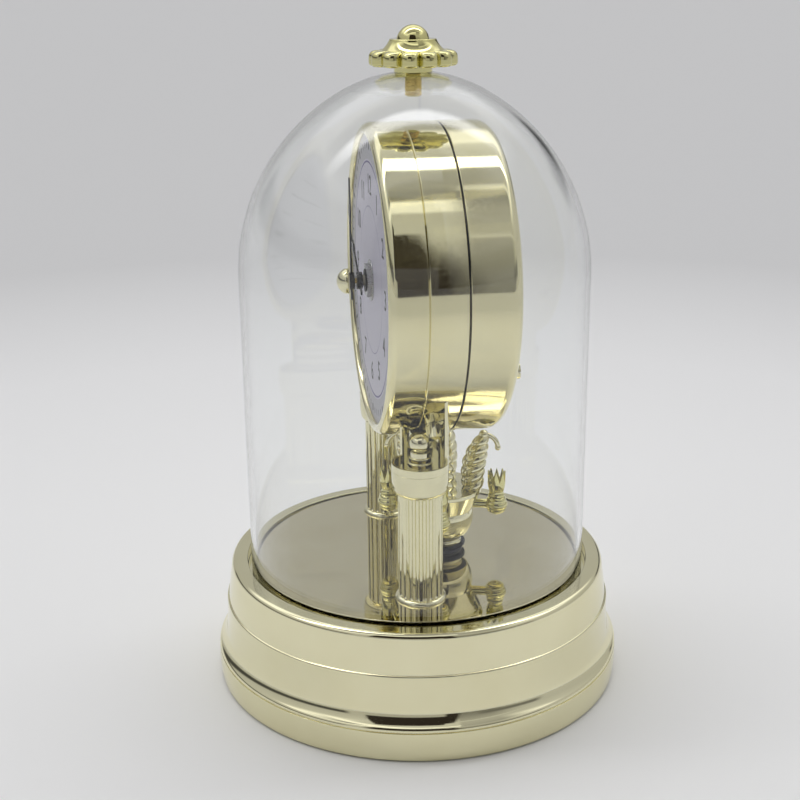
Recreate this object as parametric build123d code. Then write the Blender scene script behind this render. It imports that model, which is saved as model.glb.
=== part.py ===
from build123d import *
from math import asin, atan2, cos, degrees, hypot, pi, radians, sin, sqrt
import os

# A dome clock with a turning pendulum. Millimetres, +Z up, origin at the middle of the underside.
# X is to the right of someone facing the dial, and the dial faces -Y.

# Clearances
runningFit = 0.08
snugFit = 0.04
looseGap = 0.3

# Base moulding, from the table up
padHeight = 1.6
padRadius = 5.0
padInset = 17.0
padCount = 4
shellLift = 0.6
footEdgeInset = 0.6
footHeight = 10.0
grooveHeight = 0.9
grooveDepth = 1.0
lipHeight = 0.9
lipInset = 0.2
skirtHeight = 4.9
skirtFlare = 3.0
tierLean = 0.7
tierBow = 0.25
stepLedge = 0.6
tierHeight = 13.0
rimLean = 1.6
rimTierHeight = 14.0
rimLand = 3.9
rimRound = 2.0
shellWall = 2.4
channelDepth = 4.0
mirrorRise = 0.35
mirrorThickness = 2.0

# Underside, with the compartment that feeds the pendulum drive
coverThickness = 2.0
coverScrewInset = 25.0
coverScrewCount = 3
coverBossRadius = 4.0
coverScrewRadius = 1.4
coverScrewGrip = 9.0
screwHeadRadius = 2.8
screwHeadHeight = 1.6
batteryRadius = 7.1
batteryLength = 50.5
batteryButtonRadius = 2.7
batteryButtonHeight = 1.4
bayEndRoom = 2.75
baySideRoom = 1.4
bayWall = 1.5
bayY = -30.0
contactThickness = 0.5
contactWidth = 9.0

# Drive coil under the platform
bobbinRadius = 13.0
bobbinCoreRadius = 5.0
bobbinFlange = 1.2
bobbinHeight = 10.0
windingRadius = 11.5
boardSide = 26.0
boardThickness = 1.6

# Dome and finial
domeWall = 1.9
drumGap = 1.273
shoulderRise = 2.0
crownRise = 7.5
crownTuck = 11.5
domeSlotGap = 1.5
finialStemRadius = 2.0
finialFootRadius = 6.5
rosetteRadius = 15.0
rosetteLobes = 12
rosetteLobeRadius = 3.1
rosetteHeight = 5.2
rosetteEdge = 0.6
rosetteBrow = 1.8
rosetteLift = 1.6
crownStepRadius = 8.6
crownStepHeight = 3.6
buttonRadius = 5.0
buttonHeight = 4.6
finialNutRadius = 2.8
finialNutHeight = 6.0

# Columns and the saddles that carry the drum
columnInset = 14.7
columnY = -5.5
columnRingRadius = 8.8
columnRingHeight = 1.4
shaftRadius = 7.3
fluteCount = 20
fluteRadius = 0.8
shaftTop = 38.7
capitalHeight = 8.3
capitalRadius = 9.6
tieRodRadius = 1.5
tieHeadRadius = 3.6
tieHeadHeight = 2.2
saddleRadius = 9.6
saddleWall = 1.0
saddleFloor = 1.0
dishHeight = 2.6
cheekStartAngle = 62.0
cheekEndAngle = 214.0
washerRadius = 4.4
washerSteps = 3
washerStepHeight = 1.8
washerStepInset = 0.6
capNutRadius = 3.5
capNutFoot = 2.2
lugX = 7.2
lugY = 6.0
lugRadius = 2.8
lugLength = 6.0
lugScrewRadius = 1.2

# Drum case, turned about the hand axis; depth is measured forward from the column-side origin
caseRadius = 54.1
drumLift = 2.25
caseWall = 1.6
bezelBack = 4.6
bezelCorner = 15.9
bezelCrest = 17.4
bezelSlope = 2.7
bezelLip = 1.5
bodyBack = -8.4
coverBack = -25.8
coverRound = 4.0
seamChamfer = 0.35
rearSeam = 0.6
spigotLength = 5.0
dialFace = 15.5
dialThickness = 0.8
caseScrewInset = 4.06
caseScrewCount = 3
caseBossRadius = 2.8
caseRib = 2.0
caseScrewRadius = 1.2
caseScrewGrip = 10.0
hatchInset = 1.0
hatchDrop = 2.0
hatchCorner = 4.0

# Clock movement behind the dial
movementRise = 28.0
movementWall = 1.5
frontCaseDepth = 8.0
cellEndRoom = 1.25
cellSideRoom = 1.0
cellGap = 0.8
partitionZ = -11.3
partitionWall = 1.0
bushRadius = 4.0
bushLength = 3.0
nutRadius = 6.2
nutHeight = 1.5
nutWasherRadius = 7.2
nutWasherHeight = 0.4
motorWidth = 13.0
motorHeight = 30.0
motorGap = 1.0
motorZ = 8.0

# Motion work: cannon pinion 12 to minute wheel 36, minute pinion 10 to hour wheel 40
cannonTeeth = 12
minuteWheelTeeth = 36
minutePinionTeeth = 10
hourWheelTeeth = 40
wheelSpacing = 12.0
cannonBack = 2.6
wheelThickness = 1.4
wheelGap = 1.6
pinionLength = 2.6
arborRadius = 0.9
pipeRadius = 1.8
knobRadius = 6.0
knobHeight = 4.5
knobScallops = 12

# Hands
handLift = 3.1
handGap = 0.8
hourBossHeight = 2.0
minuteBossHeight = 2.0
handBossRadius = 3.0
handThickness = 0.6
hourReach = 0.5
minuteReach = 0.72
hourAngle = -60.0
minuteAngle = 0.0
handCapRadius = 4.4
handCapHeight = 4.2

# Turning pendulum
pendulumY = 10.0
armCount = 4
firstArmAngle = 75.0
wireRadius = 0.35
hookRadius = 1.3
hookDrop = 2.2
hookFlangeRadius = 2.0
hubClearance = 6.9
hubWaistRadius = 11.2
hubFootInset = 1.3
hubWaistHeight = 9.4
hubFlare = 3.2
hubHeight = 17.7
hubRim = 1.3
hubWall = 0.9
hubCavityHeight = 7.6
magnetHeight = 3.0
spindleFlangeRadius = 8.4
spindleFlange = 1.0
spindleNeckRadius = 6.2
spindleCollarRadius = 7.4
spindleShaftRadius = 3.0
guideCupRadius = 7.4
guideCupHeight = 1.4
guideGap = 0.4
guidePinRadius = 1.0
hornInset = 2.5
hornFootRadius = 3.9
hornTipRadius = 1.7
hornSwell = 0.8
hornBands = 12
hornRib = 0.09
hornGap = 4.4
hornLean = 3.2
hornBow = 0.1
hornTaper = 4.0
ribAngle = 24.0
hornTenonRadius = 1.0
hornTenonLength = 1.4
beadRadius = 1.8
curlRadius = 0.9
curlReach = 5.2
curlDrop = 4.9
ballOut = 5.6
ballRadius = 4.2
ballLift = 10.95
ballRings = 3
ballRingDepth = 0.35
ballEndAngle = 58.0
stemRadius = 1.7
stemDepth = 2.4
coronetFoot = 3.1
coronetWaist = 2.6
coronetRadius = 3.3
coronetHeight = 9.8
coronetPoints = 8
coronetWall = 0.7
postRadius = 1.1
postHeight = 2.4

# Places and sizes that follow from the ones above: the drum sets the dome, and the dome sets the base
domeRadius = hypot(caseRadius, coverBack + coverRound) + drumGap + domeWall
rimInnerRadius = domeRadius + domeSlotGap
rimRadius = rimInnerRadius + rimLand + rimRound
rimFootRadius = rimRadius + rimLean
tierTopRadius = rimFootRadius + stepLedge
tierFootRadius = tierTopRadius + tierLean
lipRadius = tierFootRadius + skirtFlare
footRadius = lipRadius + lipInset
padReach = footRadius - padInset
coverScrewReach = footRadius - coverScrewInset
platformRadius = domeRadius - domeWall - looseGap
footTop = shellLift + footHeight
lipZ = footTop + grooveHeight + lipHeight
skirtTop = lipZ + skirtHeight
stepZ = skirtTop + tierHeight
rimZ = stepZ + rimTierHeight
channelZ = rimZ - channelDepth
mirrorZ = rimZ + mirrorRise
deckZ = mirrorZ - mirrorThickness
deckUnder = deckZ - shellWall
coverTop = padHeight + coverThickness
bayLength = batteryLength + 2 * bayEndRoom
bayWidth = 2 * (batteryRadius + baySideRoom)
columnX = caseRadius - columnInset
shaftTopZ = mirrorZ + shaftTop
capitalTop = shaftTopZ + capitalHeight
dishFloorZ = capitalTop + saddleFloor
washerTop = dishFloorZ + washerSteps * washerStepHeight
capNutLift = sqrt(capNutRadius ** 2 - capNutFoot ** 2)
tieRodTop = washerTop + capNutLift
drumBottom = capitalTop + drumLift
drumZ = drumBottom + caseRadius
shoulderZ = drumZ + shoulderRise
domeCrown = domeRadius + crownRise
domeCrownBend = domeRadius - crownTuck
domeTop = shoulderZ + domeCrown
bezelCrestRadius = caseRadius - bezelSlope
bezelOpening = bezelCrestRadius - bezelLip
spigotRadius = caseRadius - caseWall - snugFit
spigotInner = spigotRadius - caseWall
caseScrewReach = spigotInner - caseScrewInset
dialRadius = caseRadius - caseWall - looseGap
dialBack = dialFace - dialThickness
coverInside = coverBack + caseWall
movementSide = batteryLength + 2 * (cellEndRoom + movementWall)
movementFall = 2 * batteryRadius + cellSideRoom + movementWall - partitionZ
rearCaseDepth = 2 * batteryRadius + cellGap + movementWall - frontCaseDepth
movementBatteryZ = partitionZ - cellGap - batteryRadius
caseSplit = dialBack - frontCaseDepth
movementBack = caseSplit - rearCaseDepth
motorX = movementSide / 2 - movementWall - motorGap - motorWidth / 2
hatchWidth = movementSide - 2 * hatchInset
hatchTop = movementRise - hatchInset
hatchBottom = -movementFall - hatchDrop
hourBossBack = dialFace + handLift
minuteBossBack = hourBossBack + hourBossHeight + handGap
hourLength = bezelOpening * hourReach
minuteLength = bezelOpening * minuteReach
hubBottom = mirrorZ + hubClearance
hubTop = hubBottom + hubHeight
hornHeight = drumBottom - hornGap - hubTop
ballZ = hubBottom + ballLift
ballTop = ballZ + (ballRadius - ballRingDepth) * sin(radians(ballEndAngle))
hubRimRadius = hubWaistRadius + hubFlare
hubFootRadius = hubWaistRadius - hubFootInset
hubCavityRadius = hubFootRadius - hubWall
hornRadius = hubRimRadius - hornInset
ballReach = hubRimRadius + ballOut
flangeBottom = mirrorZ + guideCupHeight + guideGap


def turned(outline):
    return revolve(Plane.XZ * make_face(outline), Axis.Z)


def ringTurned(inner, outer, low, high):
    outline = Polyline((inner, low), (outer, low), (outer, high), (inner, high), close=True)
    return turned(outline)


# The profile of a ball-shaped cap: from its edge up to its crown on the axis.
def capArc(radius, low, top):
    rise = top - low
    bend = (radius ** 2 + rise ** 2) / (2 * rise)
    half = atan2(radius, bend - rise) / 2
    return ThreePointArc((radius, low), (bend * sin(half), top - bend + bend * cos(half)), (0, top))


def post(radius, low, high, x=0.0, y=0.0):
    return Pos(x, y, low) * Cylinder(radius, high - low, align=(Align.CENTER, Align.CENTER, Align.MIN))


def block(width, depth, low, high, x=0.0, y=0.0):
    return Pos(x, y, low) * Box(width, depth, high - low, align=(Align.CENTER, Align.CENTER, Align.MIN))


# Stand a form turned about Z on the hand axis, with its +Z toward the reader of the dial.
def onDrum(shape):
    return Plane(origin=(0, 0, drumZ), x_dir=(1, 0, 0), z_dir=(0, -1, 0)).location * shape


def polarSpots(radius, count, first=90.0):
    step = 360.0 / count
    return [(radius * cos(radians(first + step * i)), radius * sin(radians(first + step * i)))
            for i in range(count)]


def baseShell():
    footMid = shellLift + footHeight * 0.7
    footEdge = footRadius - footEdgeInset
    grooveRadius = footRadius - grooveDepth
    skirtMid = (tierFootRadius + skirtFlare * 0.38, skirtTop - skirtHeight * 0.6)
    tierMid = ((tierFootRadius + tierTopRadius) / 2 - tierBow, skirtTop + tierHeight / 2)
    rimMid = ((rimFootRadius + rimRadius) / 2 + 0.3, stepZ + (rimTierHeight - rimRound) / 2)
    roundMid = rimRound * (1 - sqrt(0.5))
    channelUnder = channelZ - shellWall
    innerRim = rimRadius - shellWall
    outline = Line((footEdge - shellWall, shellLift), (footEdge, shellLift))
    outline += ThreePointArc((footEdge, shellLift), (footRadius, footMid), (footRadius - lipInset, footTop))
    outline += Polyline((footRadius - lipInset, footTop), (grooveRadius, footTop),
                        (grooveRadius, footTop + grooveHeight), (lipRadius, footTop + grooveHeight),
                        (lipRadius, lipZ))
    outline += ThreePointArc((lipRadius, lipZ), skirtMid, (tierFootRadius, skirtTop))
    outline += ThreePointArc((tierFootRadius, skirtTop), tierMid, (tierTopRadius, stepZ))
    outline += Line((tierTopRadius, stepZ), (rimFootRadius, stepZ))
    outline += ThreePointArc((rimFootRadius, stepZ), rimMid, (rimRadius, rimZ - rimRound))
    outline += ThreePointArc((rimRadius, rimZ - rimRound), (rimRadius - roundMid, rimZ - roundMid),
                             (rimRadius - rimRound, rimZ))
    outline += Polyline((rimRadius - rimRound, rimZ), (rimInnerRadius, rimZ), (rimInnerRadius, channelZ),
                        (platformRadius, channelZ), (platformRadius, deckZ), (0, deckZ), (0, deckUnder),
                        (platformRadius - shellWall, deckUnder), (platformRadius - shellWall, channelUnder),
                        (innerRim, channelUnder), (footEdge - shellWall, shellLift))
    shell = turned(outline)
    for x, y in polarSpots(coverScrewReach, coverScrewCount):
        shell += post(coverBossRadius, coverTop, deckUnder + shellWall / 2, x, y)
        shell -= post(coverScrewRadius + snugFit, coverTop, coverTop + coverScrewGrip, x, y)
    for side in (-1, 1):
        shell -= post(tieRodRadius + snugFit, channelUnder, deckZ, side * columnX, columnY)
    return shell


def mirrorPlatform():
    plate = post(platformRadius, deckZ, mirrorZ)
    for side in (-1, 1):
        plate -= post(tieRodRadius + snugFit, deckZ, mirrorZ, side * columnX, columnY)
    return plate


def bayTop():
    return coverTop + 2 * (batteryRadius + looseGap)


def bottomCover():
    radius = footRadius - footEdgeInset - shellWall - 2 * looseGap
    cover = post(radius, padHeight, coverTop)
    cover += block(bayLength + 2 * bayWall, bayWidth + 2 * bayWall, padHeight, bayTop() + bayWall, 0, bayY)
    cover -= block(bayLength, bayWidth, padHeight, bayTop(), 0, bayY)
    for x, y in polarSpots(coverScrewReach, coverScrewCount):
        cover -= post(coverScrewRadius + snugFit, padHeight, coverTop, x, y)
        cover -= post(screwHeadRadius + looseGap, padHeight, padHeight + screwHeadHeight, x, y)
    return cover


def batteryDoor():
    return block(bayLength - 2 * looseGap, bayWidth - 2 * looseGap, padHeight, coverTop, 0, bayY)


def coverScrews():
    screws = []
    for x, y in polarSpots(coverScrewReach, coverScrewCount):
        head = post(screwHeadRadius, padHeight, padHeight + screwHeadHeight, x, y)
        slot = block(screwHeadRadius * 3, 0.6, padHeight, padHeight + 0.6, x, y)
        screws.append(head - slot + post(coverScrewRadius, padHeight + screwHeadHeight,
                                         coverTop + coverScrewGrip - looseGap, x, y))
    return Part() + screws


def rubberFeet():
    return Part() + [post(padRadius, 0, padHeight, x, y) for x, y in polarSpots(padReach, padCount, 45.0)]


# A round cell lying along X with its button at +X, its middle at the origin.
def batteryCell():
    body = batteryLength - batteryButtonHeight
    can = Rot(0, 90, 0) * Cylinder(batteryRadius, body)
    button = Rot(0, 90, 0) * Cylinder(batteryButtonRadius, batteryButtonHeight)
    return Pos(-batteryButtonHeight / 2, 0, 0) * can + Pos(body / 2, 0, 0) * button


# Spring plates at both ends of a bay, each with a stud that reaches the cell's end.
def contactPair(bay):
    inner = bay / 2 - contactThickness
    reach = inner - batteryLength / 2 - snugFit
    plates = []
    for side, studRadius in ((-1, contactWidth / 2 - 1), (1, batteryButtonRadius)):
        plate = Box(contactThickness, contactWidth, contactWidth)
        stud = Rot(0, 90, 0) * Cylinder(studRadius, reach)
        plates.append(Pos(side * (inner + contactThickness / 2), 0, 0) * plate
                      + Pos(side * (inner - reach / 2), 0, 0) * stud)
    return Part() + plates


def inBase(shape):
    return Pos(0, bayY, coverTop + batteryRadius + looseGap) * shape


def driveBobbin():
    top = deckUnder
    low = deckUnder - bobbinHeight
    core = bobbinCoreRadius
    outline = Polyline((core / 2, low), (bobbinRadius, low), (bobbinRadius, low + bobbinFlange),
                       (core, low + bobbinFlange), (core, top - bobbinFlange),
                       (bobbinRadius, top - bobbinFlange), (bobbinRadius, top), (core / 2, top), close=True)
    return Pos(0, pendulumY, 0) * turned(outline)


def driveWinding():
    low = deckUnder - bobbinHeight + bobbinFlange
    high = deckUnder - bobbinFlange
    return Pos(0, pendulumY, 0) * ringTurned(bobbinCoreRadius + snugFit, windingRadius, low, high)


def driveBoard():
    top = deckUnder - bobbinHeight
    return block(boardSide, boardSide, top - boardThickness, top, 0, pendulumY)


# The dome's profile set in by inset: a straight wall, a tall shoulder arc and a rounder crown arc.
def domeOutline(inset):
    radius = domeRadius - inset
    flank = domeCrown - domeCrownBend
    bend = (domeCrownBend ** 2 - domeRadius ** 2 - flank ** 2) / (2 * (domeCrownBend - domeRadius))
    meet = atan2(flank, bend - domeRadius)
    crownLow = shoulderZ + flank
    shoulder = bend - inset
    crown = domeCrownBend - inset
    middle = (domeRadius - bend + shoulder * cos(meet / 2), shoulderZ + shoulder * sin(meet / 2))
    join = (crown * cos(meet), crownLow + crown * sin(meet))
    rise = (meet + pi / 2) / 2
    outline = Line((radius, channelZ), (radius, shoulderZ))
    outline += ThreePointArc((radius, shoulderZ), middle, join)
    outline += ThreePointArc(join, (crown * cos(rise), crownLow + crown * sin(rise)), (0, domeTop - inset))
    return outline + Polyline((0, domeTop - inset), (0, channelZ), (radius, channelZ))


def domeSolid():
    return turned(domeOutline(0))


def glassDome():
    shell = domeSolid() - turned(domeOutline(domeWall))
    return shell - post(finialStemRadius + looseGap, shoulderZ, domeTop + 1)


def domeFinial():
    lobeCircle = rosetteRadius - rosetteLobeRadius
    low = domeTop + rosetteLift
    top = low + rosetteHeight
    lobes = [Pos(x, y) * Circle(rosetteLobeRadius) for x, y in polarSpots(lobeCircle, rosetteLobes)]
    flower = Circle(lobeCircle) + lobes
    rosette = Pos(0, 0, low) * extrude(flower, amount=rosetteHeight)
    brow = Polyline((0, low), (rosetteRadius - rosetteEdge, low), (rosetteRadius, low + rosetteEdge),
                    (rosetteRadius, top - rosetteBrow))
    brow += ThreePointArc((rosetteRadius, top - rosetteBrow),
                          (rosetteRadius - rosetteBrow * 0.35, top - rosetteBrow * 0.35),
                          (rosetteRadius - rosetteBrow * 1.2, top))
    brow += Polyline((rosetteRadius - rosetteBrow * 1.2, top), (0, top), (0, low))
    rosette &= turned(brow)
    stepTop = top + crownStepHeight
    crown = Line((0, top), (crownStepRadius + 2.2, top))
    crown += ThreePointArc((crownStepRadius + 2.2, top), (crownStepRadius + 0.5, top + crownStepHeight * 0.4),
                           (crownStepRadius - 0.6, stepTop))
    crown += Line((crownStepRadius - 0.6, stepTop), (buttonRadius, stepTop))
    crown += capArc(buttonRadius, stepTop, stepTop + buttonHeight)
    crown += Line((0, stepTop + buttonHeight), (0, top))
    foot = post(finialFootRadius, domeTop - domeWall, low) - domeSolid()
    stem = post(finialStemRadius, domeTop - domeWall - finialNutHeight - 1.0, low)
    return rosette + turned(crown) + foot + stem


def finialNut():
    top = domeTop - domeWall - looseGap / 2
    nut = ringTurned(finialStemRadius + snugFit, finialNutRadius, top - finialNutHeight, top)
    return nut


def column():
    ringTop = mirrorZ + columnRingHeight
    foot = Line((0, mirrorZ), (columnRingRadius, mirrorZ))
    footMid = (columnRingRadius - 0.25, mirrorZ + columnRingHeight * 0.6)
    foot += ThreePointArc((columnRingRadius, mirrorZ), footMid, (shaftRadius, ringTop))
    foot += Polyline((shaftRadius, ringTop), (0, ringTop), (0, mirrorZ))
    flutes = [Pos(x, y) * Circle(fluteRadius) for x, y in polarSpots(shaftRadius + 0.15, fluteCount)]
    shaft = Pos(0, 0, ringTop) * extrude(Circle(shaftRadius) - flutes, amount=shaftTopZ - ringTop)
    neck = capitalRadius - 0.6
    neckZ = shaftTopZ + capitalHeight * 0.3
    bell = Line((0, shaftTopZ), (shaftRadius, shaftTopZ))
    bell += ThreePointArc((shaftRadius, shaftTopZ), (neck - 0.5, shaftTopZ + capitalHeight * 0.12), (neck, neckZ))
    bell += Polyline((neck, neckZ), (capitalRadius, capitalTop), (0, capitalTop), (0, shaftTopZ))
    return turned(foot) + shaft + turned(bell) - post(tieRodRadius + snugFit, mirrorZ, capitalTop)


def lugFrame():
    x = columnX - lugX
    tilt = asin(x / caseRadius)
    outward = (sin(tilt), 0, -cos(tilt))
    centre = (caseRadius * sin(tilt), columnY + lugY, drumZ - caseRadius * cos(tilt))
    return Plane(origin=centre, x_dir=(0, 1, 0), z_dir=outward)


def drumCutter(radius):
    return onDrum(post(radius, coverBack - 5, bezelCrest + 5))


# The right-hand saddle: a dish on the capital whose back cheek rises to the drum.
def saddle():
    inner = saddleRadius - saddleWall
    dish = ringTurned(tieRodRadius + snugFit, saddleRadius, capitalTop, capitalTop + dishHeight)
    dish -= ringTurned(0, inner, capitalTop + saddleFloor, capitalTop + dishHeight)
    reach = saddleRadius * 4
    middle = (cheekStartAngle + cheekEndAngle) / 2
    corners = [polarPoint(reach, a) for a in (cheekStartAngle, middle, cheekEndAngle)]
    wedge = make_face(Polyline((0, 0), *corners, close=True))
    cheek = extrude(wedge, amount=drumZ) & ringTurned(inner, saddleRadius, capitalTop, drumZ)
    body = Pos(columnX, columnY, 0) * (dish + cheek)
    lug = lugFrame().location * post(lugRadius, -lugLength / 2, lugLength)
    keep = Pos(columnX, columnY, 0) * post(saddleRadius, capitalTop + saddleFloor, drumZ)
    body += lug & keep
    body -= drumCutter(caseRadius)
    return body - lugFrame().location * post(lugScrewRadius + snugFit, -lugLength, lugLength * 0.7)


def bothSides(shape):
    return Part() + [shape, mirror(shape, about=Plane.YZ)]


def tieRods():
    rod = post(tieHeadRadius, deckUnder - tieHeadHeight, deckUnder)
    rod += post(tieRodRadius, deckUnder, tieRodTop)
    return bothSides(Pos(columnX, columnY, 0) * rod)


def saddleWashers():
    stack = Part()
    for i in range(washerSteps):
        low = dishFloorZ + i * washerStepHeight
        radius = washerRadius - i * washerStepInset
        stack += ringTurned(tieRodRadius + snugFit, radius, low, low + washerStepHeight)
    return bothSides(Pos(columnX, columnY, 0) * stack)


def saddleNuts():
    middle = washerTop + capNutLift
    outline = Line((0, washerTop), (capNutFoot, washerTop))
    outline += ThreePointArc((capNutFoot, washerTop), (capNutRadius, middle), (0, middle + capNutRadius))
    outline += Line((0, middle + capNutRadius), (0, washerTop))
    nut = turned(outline) - post(tieRodRadius + snugFit, washerTop, tieRodTop + snugFit)
    return bothSides(Pos(columnX, columnY, 0) * nut)


def lugScrews():
    inside = spigotInner - caseRadius - snugFit * 2
    screw = post(screwHeadRadius, inside - screwHeadHeight, inside)
    screw += post(lugScrewRadius, inside, lugLength * 0.6)
    return bothSides(lugFrame().location * screw)


def drumBezel():
    inner = caseRadius - caseWall
    corner = bezelCorner - 1.2
    outline = Polyline((bezelOpening, dialFace), (inner, dialFace), (inner, bezelBack),
                       (caseRadius - seamChamfer, bezelBack), (caseRadius, bezelBack + seamChamfer),
                       (caseRadius, corner))
    outline += ThreePointArc((caseRadius, corner), (caseRadius - 0.7, bezelCorner + 0.3),
                             (bezelCrestRadius, bezelCrest))
    outline += ThreePointArc((bezelCrestRadius, bezelCrest), (bezelOpening + 0.35, bezelCrest - 0.6),
                             (bezelOpening, dialFace))
    return onDrum(turned(outline))


def drumBody():
    outline = Polyline((spigotInner, bodyBack - spigotLength), (spigotRadius, bodyBack - spigotLength),
                       (spigotRadius, bodyBack), (caseRadius - rearSeam, bodyBack),
                       (caseRadius, bodyBack + rearSeam), (caseRadius, bezelBack - seamChamfer),
                       (caseRadius - seamChamfer, bezelBack), (spigotRadius, bezelBack),
                       (spigotRadius, dialBack), (spigotInner, dialBack), close=True)
    ring = turned(outline)
    spigotEnd = bodyBack - spigotLength
    reach = (spigotInner + spigotRadius) / 2 - caseScrewReach
    for x, y in polarSpots(caseScrewReach, caseScrewCount):
        rib = block(reach, caseRib, spigotEnd, bodyBack, caseScrewReach + reach / 2)
        ring += Rot(0, 0, degrees(atan2(y, x))) * rib
        ring += post(caseBossRadius, coverInside, bodyBack, x, y)
        ring -= post(caseScrewRadius + snugFit, coverInside, coverInside + caseScrewGrip, x, y)
    slot = 2 * (hookFlangeRadius + looseGap)
    slotFront = slot / 2 - pendulumY
    ring -= block(slot, caseRadius / 2, spigotEnd, slotFront, 0, caseRadius / 4 - spigotRadius)
    body = onDrum(ring)
    hole = lugFrame().location * post(lugScrewRadius + snugFit, -lugLength, lugLength)
    return body - hole - mirror(hole, about=Plane.YZ)


def rearCover():
    inner = caseRadius - caseWall
    innerRound = coverRound - caseWall
    turn = 1 - sqrt(0.5)
    outline = Polyline((inner, bodyBack), (caseRadius - rearSeam, bodyBack),
                       (caseRadius, bodyBack - rearSeam), (caseRadius, coverBack + coverRound))
    outline += ThreePointArc((caseRadius, coverBack + coverRound),
                             (caseRadius - turn * coverRound, coverBack + turn * coverRound),
                             (caseRadius - coverRound, coverBack))
    outline += Polyline((caseRadius - coverRound, coverBack), (0, coverBack), (0, coverInside),
                        (inner - innerRound, coverInside))
    outline += ThreePointArc((inner - innerRound, coverInside),
                             (inner - turn * innerRound, coverInside + turn * innerRound),
                             (inner, coverInside + innerRound))
    outline += Line((inner, coverInside + innerRound), (inner, bodyBack))
    cup = turned(outline)
    hatch = RectangleRounded(hatchWidth, hatchTop - hatchBottom, hatchCorner)
    cup -= Pos(0, (hatchTop + hatchBottom) / 2, coverBack - 1) * extrude(hatch, amount=caseWall + 2)
    for x, y in polarSpots(caseScrewReach, caseScrewCount):
        cup -= post(caseScrewRadius + snugFit, coverBack, coverInside, x, y)
    return onDrum(cup) - post(hookRadius + snugFit, drumBottom - 1, drumBottom + caseWall * 2, 0, pendulumY)


def rearCoverScrews():
    screws = []
    for x, y in polarSpots(caseScrewReach, caseScrewCount):
        headBack = coverBack - screwHeadHeight
        head = post(screwHeadRadius, headBack, coverBack, x, y)
        head -= block(screwHeadRadius * 3, 0.6, headBack, headBack + 0.7, x, y)
        screws.append(head + post(caseScrewRadius, coverBack, coverInside + caseScrewGrip - looseGap, x, y))
    return onDrum(Part() + screws)


def dialPlate():
    return onDrum(ringTurned(bushRadius + snugFit, dialRadius, dialBack, dialFace))


def movementShell(low, high, floorAt):
    width = movementSide - 2 * movementWall
    top = movementRise - movementWall
    bottom = movementWall - movementFall
    trainLow = partitionZ + partitionWall
    floorLow = low + movementWall if floorAt == "low" else low
    floorHigh = high if floorAt == "low" else high - movementWall
    bayFloor = low if floorAt == "low" else floorLow
    box = block(movementSide, movementRise + movementFall, low, high, 0, (movementRise - movementFall) / 2)
    box -= block(width, top - trainLow, floorLow, floorHigh, 0, (top + trainLow) / 2)
    return box - block(width, partitionZ - bottom, bayFloor, floorHigh, 0, (partitionZ + bottom) / 2)


def movementFrontCase():
    inside = dialBack - movementWall
    shell = movementShell(caseSplit, dialBack, "high")
    shell += post(bushRadius, inside, dialBack + bushLength)
    shell -= post(pipeRadius + runningFit, inside, dialBack + bushLength)
    shell += post(arborRadius * 2.5, inside - 3.0, inside + movementWall / 2, 0, wheelSpacing)
    shell -= post(arborRadius + runningFit, inside - 3.0, inside, 0, wheelSpacing)
    return onDrum(shell)


def movementRearCase():
    shell = movementShell(movementBack, caseSplit, "low")
    for y in (0, wheelSpacing):
        shell -= post(arborRadius + runningFit, movementBack, movementBack + movementWall, 0, y)
    return onDrum(shell)


def inMovement(shape):
    depth = dialBack - movementWall - looseGap - batteryRadius
    return onDrum(Pos(0, movementBatteryZ, depth) * shape)


def motorUnit():
    low = movementBack + movementWall + motorGap
    return onDrum(block(motorWidth, motorHeight, low, dialBack - movementWall, motorX, motorZ))


def bushWasher():
    return onDrum(ringTurned(bushRadius + snugFit, nutWasherRadius, dialFace, dialFace + nutWasherHeight))


def bushNut():
    low = dialFace + nutWasherHeight
    hexagon = RegularPolygon(nutRadius, 6) - Circle(bushRadius + snugFit)
    return onDrum(Pos(0, 0, low) * extrude(hexagon, amount=nutHeight))


# A spur wheel of straight-sided teeth on the centre distance it shares with its mate.
def spurWheel(teeth, mateTeeth, phase):
    module = 2 * wheelSpacing / (teeth + mateTeeth)
    pitch = module * teeth / 2
    tip = pitch + 0.75 * module
    root = pitch - 1.1 * module
    step = 360.0 / teeth
    points = []
    for i in range(teeth):
        middle = phase + i * step
        for share, radius in ((-0.27, root), (-0.10, tip), (0.10, tip), (0.27, root)):
            angle = radians(middle + share * step)
            points.append((radius * cos(angle), radius * sin(angle)))
    return make_face(Polyline(*points, close=True))


def wheelBack():
    return cannonBack + (pinionLength - wheelThickness) / 2


def hourWheelBack():
    return wheelBack() + wheelThickness + wheelGap


def minuteArbor():
    low = movementBack + looseGap
    capEnd = minuteBossBack + minuteBossHeight + handCapHeight / 2
    arbor = post(arborRadius, low, capEnd)
    cannon = spurWheel(cannonTeeth, minuteWheelTeeth, 90.0)
    arbor += Pos(0, 0, cannonBack) * extrude(cannon, amount=pinionLength)
    return onDrum(arbor)


def hourWheel():
    low = hourWheelBack()
    gap = 180.0 / hourWheelTeeth
    teeth = spurWheel(hourWheelTeeth, minutePinionTeeth, 90.0 + gap)
    wheel = Pos(0, 0, low) * extrude(teeth, amount=wheelThickness)
    wheel += post(pipeRadius, low, hourBossBack + hourBossHeight)
    return onDrum(wheel - post(arborRadius + runningFit, low, hourBossBack + hourBossHeight))


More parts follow.
